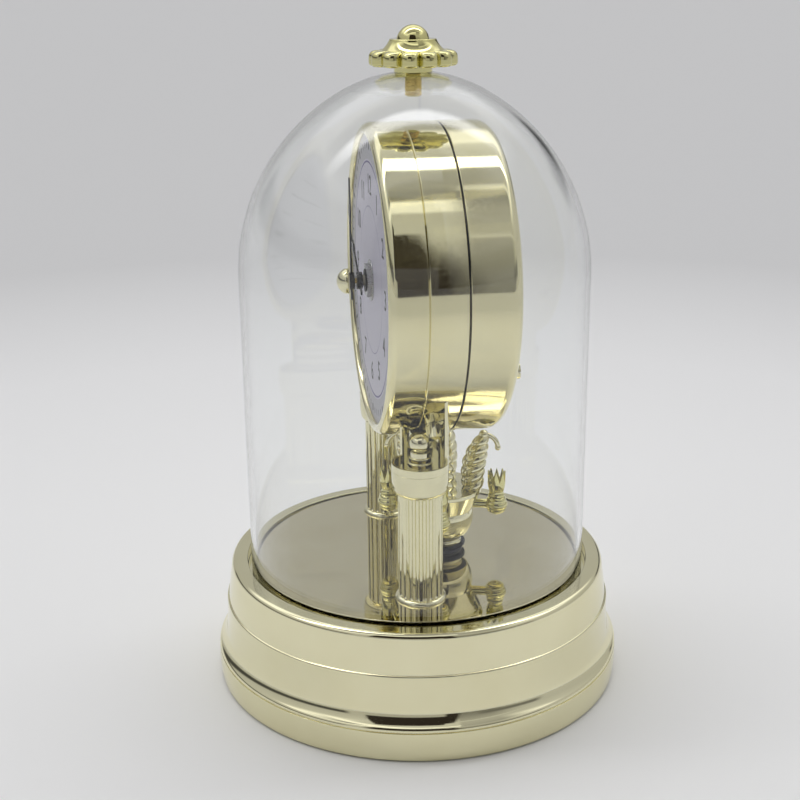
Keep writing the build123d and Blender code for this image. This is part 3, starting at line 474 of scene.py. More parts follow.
# Base moulding: foot ring, groove, flared skirt, two tiers, the dome's channel and the mirror deck
base = {"bottom": 0.6, "footEdge": 74.4, "foot": (74.95, 7.6), "footTop": 10.9, "groove": 74.3,
        "grooveTop": 11.5, "lip": 74.8, "lipMid": (74.62, 12.31), "lipEnd": (74.11, 12.94),
        "skirtMid": (72.8, 14.6), "skirt": (71.8, 17.3), "tierMid": (71.2, 23.8), "tierTop": (71.1, 29.5),
        "stepMid": (70.92, 30.08), "step": (70.5, 30.3), "rimMid": (69.78, 36.3), "rim": 68.9, "rimZ": 44.3,
        "rimRound": 2.0, "channelOut": 63.0, "channelIn": 59.3, "channelZ": 40.3, "deckUnder": 40.25,
        "well": 56.9, "wellZ": 37.9, "wallTop": 66.5, "wallFoot": 72.0}
rim, rimZ = base["rim"], base["rimZ"]
rimEdge, rimFlat = (rim, rimZ - base["rimRound"]), (rim - base["rimRound"], rimZ)
outline = bow((base["footEdge"], base["bottom"]), base["foot"], (base["lip"], base["footTop"]), 18)
outline += [(base["groove"], base["footTop"]), (base["groove"], base["grooveTop"])]
outline += bow((base["lip"], base["grooveTop"]), base["lipMid"], base["lipEnd"], 8)
outline += bow(base["lipEnd"], base["skirtMid"], base["skirt"], 20)[1:]
outline += bow(base["skirt"], base["tierMid"], base["tierTop"], 12)[1:]
outline += bow(base["tierTop"], base["stepMid"], base["step"], 8)[1:]
outline += bow(base["step"], base["rimMid"], rimEdge, 12)[1:]
outline += quarter(rimEdge, (rim, rimZ), rimFlat, 6)[1:]
outline += [(base["channelOut"], rimZ), (base["channelOut"], base["channelZ"]),
            (base["channelIn"], base["channelZ"]), (base["channelIn"], place["deckZ"]), (0, place["deckZ"]),
            (0, base["deckUnder"]), (base["well"], base["deckUnder"]), (base["well"], base["wellZ"]),
            (base["wallTop"], base["wellZ"]), (base["wallFoot"], base["bottom"])]
makePiece("base shell", turned(outline, 0.2, 160), "champagne", "stand")

outline = ringOutline(0, base["channelIn"], place["deckZ"], place["mirrorZ"])
makePiece("mirror platform", turned(outline, 0.3, 160), "mirror", "stand")


# Blown dome: straight wall, tall shoulder, rounder crown, a round lip and the hole for the finial
dome = {"radius": 61.5, "wall": 1.9, "foot": 40.3, "midZ": 95.0, "shoulderZ": 150.0, "crown": 69.0,
        "crownBend": 50.0, "hole": 2.3, "lip": 0.9}


def domeLine(inset):
    radius, shoulderZ, crownBend = dome["radius"], dome["shoulderZ"], dome["crownBend"]
    flank = dome["crown"] - crownBend
    bend = (crownBend ** 2 - radius ** 2 - flank ** 2) / (2 * (crownBend - radius))
    meet = atan2(flank, bend - radius)
    crown = crownBend - inset
    line = [(radius - inset, dome["foot"]), (radius - inset, dome["midZ"])]
    line += arc((radius - bend, shoulderZ), bend - inset, 0, meet, 24)
    return line + arc((0, shoulderZ + flank), crown, meet, acos(dome["hole"] / crown), 28)[1:]


outline = domeLine(0) + list(reversed(domeLine(dome["wall"])))
makePiece("glass dome", turned(outline, dome["lip"], 160), "glass", "dome")
print("base, mirror and dome")


# Finial: a gadrooned rosette under a stepped crown with a ball top
finial = {"lobes": 12, "lobe": 3.1, "circle": 11.9, "low": 220.6, "top": 225.8, "crown": 10.8,
          "crownMid": (9.1, 227.24), "crownTop": 8.0, "step": 229.4, "knob": 5.5, "tip": 233.98, "neck": 6.45,
          "neckLow": 218.62, "neckDish": 218.95, "stem": 2.0, "stemLow": 210.1, "stemTop": 219.2,
          "lobeSteps": 16, "valley": 0.12, "lap": 0.1, "sink": 0.4, "edgeMid": (0.15, 0.1), "edgeIn": 0.5,
          # height over the underside and share of the full reach
          "edge": ((0, 0.30), (0, 0.90), (0.12, 0.955), (0.5, 0.988), (1.1, 1.0), (2.2, 1.0), (3.2, 0.998),
                   (3.9, 0.985), (4.5, 0.955), (4.9, 0.915), (5.15, 0.86), (5.2, 0.78), (5.2, 0.3))}


def finialForm():
    low, top, step, crownTop = (finial[key] for key in ("low", "top", "step", "crownTop"))
    steps = finial["lobes"] * finial["lobeSteps"]
    reaches = []
    for k in range(steps):
        offset = tau / finial["lobes"] * ((k % finial["lobeSteps"]) / finial["lobeSteps"] - 0.5)
        swell = max(finial["valley"], finial["lobe"] ** 2 - (finial["circle"] * sin(offset)) ** 2)
        reaches.append((finial["circle"] * cos(offset) + sqrt(swell), tau * k / steps))
    rings = [[(*polar(reach * share, angle), low + height) for reach, angle in reaches]
             for height, share in finial["edge"]]
    lap, sink, (midIn, midDown) = finial["lap"], finial["sink"], finial["edgeMid"]
    edge, edgeMid = (crownTop, step - sink), (crownTop - midIn, step - midDown)
    crown = [(0, top - sink)] + bow((finial["crown"], top - lap), finial["crownMid"], edge, 8)
    crown += bow(edge, edgeMid, (crownTop - finial["edgeIn"], step), 4)[1:]
    crown += capOutline(finial["knob"], step, finial["tip"], 14)
    reach = finial["neck"]
    neck = [(0, finial["neckDish"]), (reach, finial["neckLow"]), (reach, low + lap), (0, low + lap)]
    stem = ringOutline(0, finial["stem"], finial["stemLow"], finial["stemTop"])
    return joined(stacked(rings), spun(crown, 96), turned(neck, 0.2, 64), spun(stem, 32))


finialNut = {"bore": 2.04, "radius": 2.8, "low": 210.95, "top": 216.95}
makePiece("dome finial", finialForm(), "yellowGold", "dome", 40)
outline = ringOutline(finialNut["bore"], finialNut["radius"], finialNut["low"], finialNut["top"])
makePiece("finial nut", turned(outline, 0.2, 48), "brass", "dome", 40)


# Fluted column, built at the origin from rings whose points follow the flutes
column = {"core": 3.0, "ring": 8.8, "ringMid": (8.55, 0.84), "ringRise": 1.4, "shaft": 7.55, "flutes": 20,
          "flute": 0.8, "fluteCircle": 7.7, "bellMid": (8.85, 84.2), "neck": (9.3, 85.7),
          "neckMid": (9.5, 87.2), "bell": (9.6, 89.2), "bevel": 0.05, "ringBevel": 0.1,
          # how far from its end a flute has which share of its depth
          "fades": ((0.05, 0.35), (0.2, 0.66), (0.45, 0.9), (0.8, 1.0))}


def columnForm():
    low, shaftTop, bellTop = place["mirrorZ"], place["shaftTop"], place["capitalTop"]
    shaft, bell, core, bevel = column["shaft"], column["bell"], column["core"], column["bevel"]
    start = low + column["ringRise"]
    half = asin(column["flute"] / column["fluteCircle"])
    pitch = tau / column["flutes"]
    offsets = [half * share for share in (-1, -0.86, -0.62, -0.32, 0, 0.32, 0.62, 0.86, 1)] + [pitch / 2]

    def ring(radius, height, depth=0):
        points = []
        for k in range(column["flutes"]):
            for offset in offsets:
                cut = 0.0
                if abs(offset) <= half:
                    root = max(0.0, column["flute"] ** 2 - (column["fluteCircle"] * sin(offset)) ** 2)
                    cut = max(0.0, shaft - column["fluteCircle"] * cos(offset) + sqrt(root))
                points.append((*polar(radius - cut * depth, pitch * k + offset), height))
        return points

    ringMid = (column["ringMid"][0], low + column["ringMid"][1])
    ringEdge, ringBevel = column["ring"], column["ringBevel"]
    foot = [(core, low), (ringEdge - ringBevel, low)]
    foot += bow((ringEdge, low + ringBevel), ringMid, (shaft, start), 7)
    capital = bow((shaft, shaftTop), column["bellMid"], column["neck"], 8)
    capital += bow(column["neck"], column["neckMid"], bell, 5)[1:]
    capital += [(bell[0], bellTop - bevel), (bell[0] - bevel, bellTop), (core, bellTop)]
    rows = [ring(radius, height) for radius, height in foot]
    rows += [ring(shaft, start + rise, depth) for rise, depth in column["fades"]]
    rows += [ring(shaft, shaftTop - drop, depth) for drop, depth in reversed(column["fades"])]
    rows += [ring(radius, height) for radius, height in capital]
    return stacked(rows)


columnShape = columnForm()
for side, name in ((1, "column right"), (-1, "column left")):
    spot = at(side * place["columnX"], place["columnY"])
    makePiece(name, moved(columnShape, spot), "champagne", "stand", 32)


# Saddle: a dish on the capital, with a cheek at its back that is cut to the drum's curve and a screw lug
saddle = {"radius": 9.6, "wall": 1.0, "floor": 1.0, "dish": 2.6, "bore": 1.6, "cheekFoot": 1.2,
          "cheekStart": 62, "cheekEnd": 214, "cheekSteps": 60, "drum": 54.1, "gap": 0.03, "lug": 2.8,
          "lugGap": 0.02, "lugLength": 5.0, "lugInset": 7.2, "lugBack": 6.0}


def saddleForm():
    low, outer, drumRadius = place["capitalTop"], saddle["radius"], saddle["drum"]
    columnX, columnY = place["columnX"], place["columnY"]
    inner, floor, brim = outer - saddle["wall"], low + saddle["floor"], low + saddle["dish"]
    bore = saddle["bore"]
    dish = [(bore, low), (outer, low), (outer, brim), (inner, brim), (inner, floor), (bore, floor)]
    rings, first, sweep = [], saddle["cheekStart"], saddle["cheekEnd"] - saddle["cheekStart"]
    for k in range(saddle["cheekSteps"] + 1):
        angle = radians(first + sweep * k / saddle["cheekSteps"])
        ring = []
        for reach, atDrum in ((inner, False), (outer, False), (outer, True), (inner, True)):
            x, y = columnX + reach * cos(angle), columnY + reach * sin(angle)
            drop = sqrt(drumRadius ** 2 - min(x, drumRadius - 0.5) ** 2)
            height = place["drumZ"] - drop - saddle["gap"] if atDrum else low + saddle["cheekFoot"]
            ring.append((x, y, height))
        rings.append(ring)
    tilt = asin((columnX - saddle["lugInset"]) / drumRadius)
    lug = spun(ringOutline(0, saddle["lug"], saddle["lugGap"], saddle["lugLength"]), 32)
    drop, across = polar(drumRadius, tilt)
    seat = at(across, columnY + saddle["lugBack"], place["drumZ"] - drop)
    lug = moved(lug, seat @ Matrix.Rotation(pi - tilt, 4, "Y"))
    return joined(moved(turned(dish, 0.12, 96), at(columnX, columnY)), stacked(rings), lug)


saddleShape = saddleForm()
makePiece("saddle right", saddleShape, "champagne", "stand", 35)
makePiece("saddle left", mirrored(saddleShape), "champagne", "stand", 35)

# Stepped washers and domed nuts on the tie rods, one of each in either saddle
washer = {"bore": 1.55, "low": 92.65, "step": 1.8, "radii": (4.4, 3.8, 3.2)}
capNut = {"radius": 3.5, "foot": 2.2, "low": 98.05}
outline = [(washer["bore"], washer["low"])]
for i, radius in enumerate(washer["radii"]):
    outline += [(radius, washer["low"] + level * washer["step"]) for level in (i, i + 1)]
outline.append((washer["bore"], outline[-1][1]))
washerShape = turned(outline, 0.28, 64)
middle = capNut["low"] + sqrt(capNut["radius"] ** 2 - capNut["foot"] ** 2)
pole = (0, middle + capNut["radius"])
outline = [(0, capNut["low"])]
outline += bow((capNut["foot"], capNut["low"]), (capNut["radius"], middle), pole, 24)
nutShape = spun(outline, 64)
spots = [at(side * place["columnX"], place["columnY"]) for side in (1, -1)]
for name, shape in (("saddle washers", washerShape), ("saddle cap nuts", nutShape)):
    makePiece(name, joined(*[moved(shape, spot) for spot in spots]), "champagne", "stand")
print("finial, columns and saddles")


# Drum case: three turned rings that meet in fine seams; heights run from the back to the dial
drum = {"radius": 54.1, "recess": 52.5, "sleeve": 52.46, "bore": 50.86, "face": 15.5, "dialBack": 14.7,
        "opening": 49.9, "bezelMid": (53.4, 16.2), "nose": (51.4, 17.4), "noseMid": (50.25, 16.8),
        "split": 4.6, "seam": 0.35, "rearSplit": -8.4, "lapEnd": -13.4, "jointDepth": 1.2,
        "jointFront": -8.15, "bodyEdge": -7.8, "jointRear": -8.6, "coverBevel": 0.15, "back": -25.8,
        "wall": 1.6, "round": 4.0}
outer, recess, sleeve, seam = (drum[key] for key in ("radius", "recess", "sleeve", "seam"))
split, rearSplit, jointFloor = drum["split"], drum["rearSplit"], outer - drum["jointDepth"]
outline = [(drum["opening"], drum["face"]), (recess, drum["face"]), (recess, split), (outer - seam, split),
           (outer, split + seam)]
outline += bow((outer, drum["dialBack"]), drum["bezelMid"], drum["nose"], 10)
outline += bow(drum["nose"], drum["noseMid"], (drum["opening"], drum["face"]), 6)[1:-1]
makePiece("drum bezel", onDrum(turned(outline, 0.12, 192)), "drumGold", "stand")
bore, jointFront = drum["bore"], drum["jointFront"]
outline = [(bore, drum["lapEnd"]), (sleeve, drum["lapEnd"]), (sleeve, rearSplit), (jointFloor, rearSplit),
           (jointFloor, jointFront), (outer - seam, jointFront), (outer, drum["bodyEdge"]),
           (outer, split - seam), (outer - seam, split), (sleeve, split), (sleeve, drum["dialBack"]),
           (bore, drum["dialBack"])]
makePiece("drum body", onDrum(turned(outline, 0.12, 192)), "drumGold", "stand")
back, inside = drum["back"], drum["back"] + drum["wall"]
roundFrom, coverBevel, jointRear = back + drum["round"], drum["coverBevel"], drum["jointRear"]
flat = outer - drum["round"]
outline = [(recess, rearSplit), (jointFloor, rearSplit), (jointFloor, jointRear),
           (outer - coverBevel, jointRear), (outer, jointRear - coverBevel)]
outline += quarter((outer, roundFrom), (outer, back), (flat, back), 10) + [(0, back), (0, inside)]
outline += quarter((flat, inside), (recess, inside), (recess, roundFrom), 6)
rearForm = onDrum(turned(outline, 0.12, 192))


# Cut the hatch, a rectangle with round corners, out of the rear cover
def rearCover():
    hatch = {"half": 27.0, "top": 27.0, "bottom": -30.0, "corner": 4.0, "cut": (-30.0, -20.0)}
    corners = []
    for acrossSign, upSign, first in ((1, 1, 0), (-1, 1, 90), (-1, -1, 180), (1, -1, 270)):
        midX = acrossSign * (hatch["half"] - hatch["corner"])
        midY = (hatch["top"] if upSign > 0 else hatch["bottom"]) - upSign * hatch["corner"]
        corners += arc((midX, midY), hatch["corner"], radians(first), radians(first + 90), 6)
    tool = bpy.data.objects.new("hatch tool", meshFrom("hatch tool", onDrum(slab(corners, *hatch["cut"]))))
    scene.collection.objects.link(tool)
    cup = bpy.data.objects.new("rear cup", meshFrom("rear cup", rearForm))
    cut = cup.modifiers.new("hatch", "BOOLEAN")
    cut.operation, cut.solver, cut.object = "DIFFERENCE", "EXACT", tool
    form = evaluated(cup)
    bpy.data.objects.remove(tool)
    makePiece("rear cover", form, "drumGold", "stand", 35)


rearCover()


# Dial plate with its printing: numerals as flat letters, tracks placed by Geometry Nodes
dial = {"radius": 52.2, "hole": 4.04, "numeral": 33.0, "numeralSize": 9.6, "letter": 0.015, "print": 0.02,
        "track": 46.4, "minuteMark": (0.45, 2.0, 0.04), "hourMark": (1.1, 2.6, 0.05)}
outline = ringOutline(dial["hole"], dial["radius"], drum["dialBack"], drum["face"])
makePiece("dial", onDrum(spun(outline, 128)), "dial", "stand", 30)


def markTree():
    tree = bpy.data.node_groups.new("dial marks", "GeometryNodeTree")
    tree.interface.new_socket("Geometry", in_out="OUTPUT", socket_type="NodeSocketGeometry")
    for name, kind in (("Count", "NodeSocketInt"), ("Radius", "NodeSocketFloat"),
                       ("Size", "NodeSocketVector"), ("Ink", "NodeSocketMaterial")):
        tree.interface.new_socket(name, in_out="INPUT", socket_type=kind)
    new = tree.nodes.new
    given, result = new("NodeGroupInput"), new("NodeGroupOutput")
    circle, box = new("GeometryNodeMeshCircle"), new("GeometryNodeMeshCube")
    spot, facing = new("GeometryNodeInputPosition"), new("FunctionNodeAlignRotationToVector")
    copies, real = new("GeometryNodeInstanceOnPoints"), new("GeometryNodeRealizeInstances")
    paint = new("GeometryNodeSetMaterial")
    facing.axis, facing.pivot_axis = "Y", "Z"
    links = ((given, "Count", circle, "Vertices"), (given, "Radius", circle, "Radius"),
             (given, "Size", box, "Size"), (circle, "Mesh", copies, "Points"),
             (box, "Mesh", copies, "Instance"), (spot, "Position", facing, "Vector"),
             (facing, "Rotation", copies, "Rotation"), (copies, "Instances", real, "Geometry"),
             (real, "Geometry", paint, "Geometry"), (given, "Ink", paint, "Material"),
             (paint, "Geometry", result, "Geometry"))
    for source, output, target, socket in links:
        tree.links.new(source.outputs[output], target.inputs[socket])
    return tree


def markRow(tree, count, size):
    holder = bpy.data.objects.new("mark row", bpy.data.meshes.new("mark row"))
    marks = holder.modifiers.new("marks", "NODES")
    marks.node_group = tree
    values = {"Count": count, "Radius": dial["track"] * mm, "Size": [side * mm for side in size],
              "Ink": finish["ink"]}
    for item in tree.interface.items_tree:
        if item.in_out == "INPUT":
            marks[item.identifier] = values[item.name]
    return evaluated(holder)


def numeral(hour):
    curve = bpy.data.curves.new("numeral", "FONT")
    curve.body = str(hour)
    curve.align_x = curve.align_y = "CENTER"
    curve.size = dial["numeralSize"] * mm
    curve.extrude = dial["letter"] * mm
    curve.resolution_u = 4
    spot = at(*polar(dial["numeral"], radians(90 - 30 * hour)), dial["print"])
    return moved(evaluated(bpy.data.objects.new("numeral", curve)), spot)


def dialPrint():
    tree = markTree()
    forms = [markRow(tree, 60, dial["minuteMark"]), markRow(tree, 12, dial["hourMark"])]
    forms += [numeral(hour) for hour in range(1, 13)]
    return onDrum(moved(joined(*forms), at(0, 0, drum["face"] + dial["print"])))


makePiece("dial printing", dialPrint(), "ink", "stand", 30)
print("drum and dial")


# Hands: slim blades with a pointed leaf, on turned bosses
hands = {"hour": {"length": 24.95, "angle": -60, "back": 18.6, "bore": 1.84},
         "minute": {"length": 35.9, "angle": 0, "back": 21.4, "bore": 0.94},
         "boss": 3.0, "bossHeight": 2.0, "bladeLow": 0.7, "bladeHigh": 1.3, "tail": (0.8, -6.6),
         # half widths of the blade at shares of its length
         "leaf": ((0.65, 0.55), (2.1, 0.68), (0.55, 0.82))}


def handForm(length, angle, back, bore):
    half = [hands["tail"]] + [(width, length * share) for width, share in hands["leaf"]]
    outline = [(-x, y) for x, y in half] + [(0, length)] + list(reversed(half))
    blade = slab(outline, back + hands["bladeLow"], back + hands["bladeHigh"])
    boss = ringOutline(bore, hands["boss"], back, back + hands["bossHeight"])
    whole = joined(blade, turned(boss, 0.25, 48))
    return onDrum(moved(whole, Matrix.Rotation(radians(-angle), 4, "Z")))


for body in ("hour", "minute"):
    makePiece(f"{body} hand", handForm(**hands[body]), "handPaint", body, 35)

# What holds them: a cap over the minute hand, a washer and a nut on the movement's bush
handCap = {"radius": 4.4, "back": 23.4, "edge": 24.66, "tip": 27.6}
bush = {"hole": 4.04, "washer": 7.2, "washerFront": 15.9, "nut": 6.2, "nutFront": 17.4}
outline = [(0, handCap["back"]), (handCap["radius"], handCap["back"])]
outline += capOutline(handCap["radius"], handCap["edge"], handCap["tip"], 12)
makePiece("hand cap", onDrum(turned(outline, 0.2, 64)), "champagne", "minute")
outline = ringOutline(bush["hole"], bush["washer"], drum["face"], bush["washerFront"])
makePiece("bush washer", onDrum(turned(outline, 0.1, 64)), "steel", "stand", 40)
hexagon = [polar(bush["nut"], radians(60 * k)) for k in range(6)]
makePiece("bush nut", onDrum(slab(hexagon, bush["washerFront"], bush["nutFront"])), "steel", "stand", 30)


# Pendulum: goblet hub over a dark magnet, on a spindle that stands in the guide cup
hub = {"low": place["hubBottom"], "top": place["hubTop"], "foot": 9.4, "bulb": 11.3, "bulbRise": 4.6,
       "waist": 11.0, "waistRise": 9.4, "rim": 14.4, "band": 1.3, "cavity": 9.0, "cavityRise": 7.6}
magnet = {"bore": 3.04, "radius": 8.96, "height": 3.0}
spindle = {"pin": 1.0, "pinLow": 45.15, "foot": 8.4, "footLow": 46.45, "footTop": 47.45, "neck": 7.4,
           "neckMid": (6.2, 49.0), "neckTop": 50.55, "shank": 3.0, "top": 59.1}
guide = {"low": 44.65, "foot": 7.4, "mid": (7.0, 45.63), "brim": 6.0, "top": 46.05, "bore": 1.08,
         "floor": 44.95}
low, top, cavity, cavityTop = hub["low"], hub["top"], hub["cavity"], hub["low"] + hub["cavityRise"]
outline = [(cavity, low)]
waist = (hub["waist"], low + hub["waistRise"])
outline += bow((hub["foot"], low), (hub["bulb"], low + hub["bulbRise"]), waist, 14)
outline += [(hub["rim"], top - hub["band"]), (hub["rim"], top), (0, top), (0, cavityTop), (cavity, cavityTop)]
makePiece("pendulum hub", onPendulum(turned(outline, 0.35, 96)), "champagne", "pendulum")
outline = ringOutline(magnet["bore"], magnet["radius"], low, low + magnet["height"])
makePiece("pendulum magnet", onPendulum(turned(outline, 0.2, 64)), "ferrite", "pendulum")
pin, foot, neck, shank = (spindle[key] for key in ("pin", "foot", "neck", "shank"))
outline = [(0, spindle["pinLow"]), (pin, spindle["pinLow"]), (pin, spindle["footLow"]),
           (foot, spindle["footLow"]), (foot, spindle["footTop"])]
outline += bow((neck, spindle["footTop"]), spindle["neckMid"], (neck, spindle["neckTop"]), 12)
outline += [(neck, low), (shank, low), (shank, spindle["top"]), (0, spindle["top"])]
makePiece("pendulum spindle", onPendulum(turned(outline, 0.2, 72)), "spindle", "pendulum")
outline = [(0, guide["low"])]
outline += bow((guide["foot"], guide["low"]), guide["mid"], (guide["brim"], guide["top"]), 6)
outline += [(guide["bore"], guide["top"]), (guide["bore"], guide["floor"]), (0, guide["floor"])]
makePiece("guide cup", onPendulum(turned(outline, 0.2, 72)), "ferrite", "stand")


# Scroll horn: a stout bar with slanting ribs that leans out and ends in a bead and a drooping curl
horn = {"reach": 11.9, "foot": 3.9, "tip": 1.7, "swell": 0.8, "ribs": 6, "depth": 0.09, "slant": 24.0,
        "height": 20.25, "sink": 2, "bow": 0.1, "lean": 3.2, "bead": 1.8, "curl": 0.9, "curlReach": 5.2,
        "curlDrop": 4.9, "curlMid": (0.7, 0.28), "curlEnd": 1.125, "ribPower": 0.8, "lift": 0.002,
        "steps": 132}


def hornForm():
    top, reach, steps, depth = place["hubTop"], horn["reach"], horn["steps"], horn["depth"]
    tip = (reach + horn["lean"], top + horn["height"])
    spine = bow((reach, top - horn["sink"]), (reach - horn["bow"], top + horn["height"] / 2), tip, steps)
    slant = Matrix.Rotation(radians(-horn["slant"]), 3, "Y")
    rings = []
    for k, (x, z) in enumerate(spine):
        share = k / steps
        rib = 1 - depth + 2 * depth * abs(sin(pi * share * horn["ribs"])) ** horn["ribPower"]
        taper = horn["foot"] + (horn["tip"] - horn["foot"]) * share ** 4
        taper += horn["swell"] * sin(pi * share)
        before, after = spine[max(k - 1, 0)], spine[min(k + 1, steps)]
        along = slant @ Vector((after[0] - before[0], 0, after[1] - before[1])).normalized()
        ring = hoop((x, 0, z), along, taper * rib, 48)
        for point in ring:
            point.z = max(point.z, top + horn["lift"] * k)  # the foot is cut off flat on the hub
        rings.append(ring)
    mid, end = [(tip[0] + horn["curlReach"] * out, tip[1] - horn["curlDrop"] * down)
                for out, down in (horn["curlMid"], (1, 1))]
    curl = bow(tip, mid, end, 24)
    return joined(stacked(rings), bar([(x, 0, z) for x, z in curl], horn["curl"]),
                  ball(horn["bead"], (tip[0], 0, tip[1])), ball(horn["curlEnd"], (end[0], 0, end[1]), 24))


# Ball: three rounded rings, flat at both ends, on a stem into the hub
orb = {"reach": 20.0, "radius": 4.2, "height": place["hubBottom"] + 10.95, "rings": 3, "depth": 0.35,
       "end": 58.0, "stem": 1.7, "stemFrom": 8.9, "stemTo": 17.0, "button": 1.1}
orb["top"] = orb["height"] + (orb["radius"] - orb["depth"]) * sin(radians(orb["end"]))


def ballForm():
    groove, end, height = orb["radius"] - orb["depth"], orb["end"], orb["height"]
    step = 2 * end / orb["rings"]

    def spot(reach, angle):
        return polar(reach, radians(angle))

    outline = [(0, spot(groove, -end)[1])]
    for i in range(orb["rings"]):
        low = -end + step * i
        outline += bow(spot(groove, low), spot(orb["radius"], low + step / 2), spot(groove, low + step), 10)
    outline.append((0, spot(groove, end)[1]))
    stem = bar([(orb["stemFrom"], 0, height), (orb["stemTo"], 0, height)], orb["stem"])
    return joined(moved(spun(outline, 64), at(orb["reach"], 0, height)), stem,
                  ball(orb["button"], (orb["reach"], 0, 2 * height - orb["top"]), 24))


# Coronet: a little tulip cup with eight points, standing on each ball
coronet = {"low": orb["top"], "height": 9.8, "foot": 3.1, "footHeight": 0.7, "bevel": 0.15, "waist": 2.6,
           "waistShare": 0.18, "bellyShare": 0.32, "lipShare": 0.52, "radius": 3.3, "wall": 0.7, "floor": 2.4,
           "points": 8, "pointSteps": 10, "core": 0.6, "bellyIn": 0.3, "edgeRise": 0.52, "innerRise": 0.5,
           "well": (1.2, 0.4)}


def coronetForm():
    low, height, foot, bevel = (coronet[key] for key in ("low", "height", "foot", "bevel"))
    outer, inner, floor = coronet["radius"], coronet["radius"] - coronet["wall"], low + coronet["floor"]
    lip = low + height * coronet["lipShare"]
    steps = coronet["points"] * coronet["pointSteps"]

    def ring(radius, z, rise=0.0):
        points = []
        for k in range(steps):
            x, y = polar(radius, tau * k / steps)
            peak = abs(((k / coronet["pointSteps"]) % 1) * 2 - 1)
            points.append((orb["reach"] + x, y, z + rise * peak))
        return points

    footTop = low + coronet["footHeight"]
    waist = (coronet["waist"], low + height * coronet["waistShare"])
    line = [(coronet["core"], low), (foot - bevel, low), (foot, low + bevel), (foot, footTop - bevel),
            (foot - bevel, footTop)]
    line += bow(waist, (outer - coronet["bellyIn"], low + height * coronet["bellyShare"]), (outer, lip), 8)
    rise = height * (1 - coronet["lipShare"]) - coronet["edgeRise"]
    rows = [ring(radius, z) for radius, z in line]
    rows += [ring(outer, lip + coronet["edgeRise"], rise), ring(inner, lip + coronet["innerRise"], rise),
             ring(inner, lip)]
    return stacked(rows + [ring(radius, floor) for radius in coronet["well"]])


armPieces = (("scroll horn", hornForm(), "champagne", 50), ("pendulum ball", ballForm(), "yellowGold", 50),
             ("ball coronet", coronetForm(), "yellowGold", 40))
for i in range(arms["count"]):
    for name, form, look, sharp in armPieces:
        makePiece(f"{name} {i + 1}", onArm(form, i), look, "pendulum", sharp)
print("hands and pendulum")

# CAD pieces kept as they are, with a finish for each
kept = {
    "blackPlastic": ["bottom_cover", "battery_door", "movement_front_case", "movement_rear_case",
                     "motor_unit"],
    "creamPlastic": ["drive_bobbin", "minute_wheel", "hour_wheel", "setting_knob"],
    "rubber": ["rubber_feet"],
    "steel": ["bottom_cover_screws", "tie_rods", "saddle_screws", "drive_contacts", "movement_contacts",
              "suspension_wire"],
    "brass": ["minute_arbor", "suspension_hook"],
    "drumGold": ["rear_cover_screws"],
    "copper": ["drive_winding"],
    "board": ["drive_board"],
    "cell": ["drive_battery", "movement_battery"],
}
for look, names in kept.items():
    for name in names:
        nodes[name].data.materials.clear()
        nodes[name].data.materials.append(finish[look])
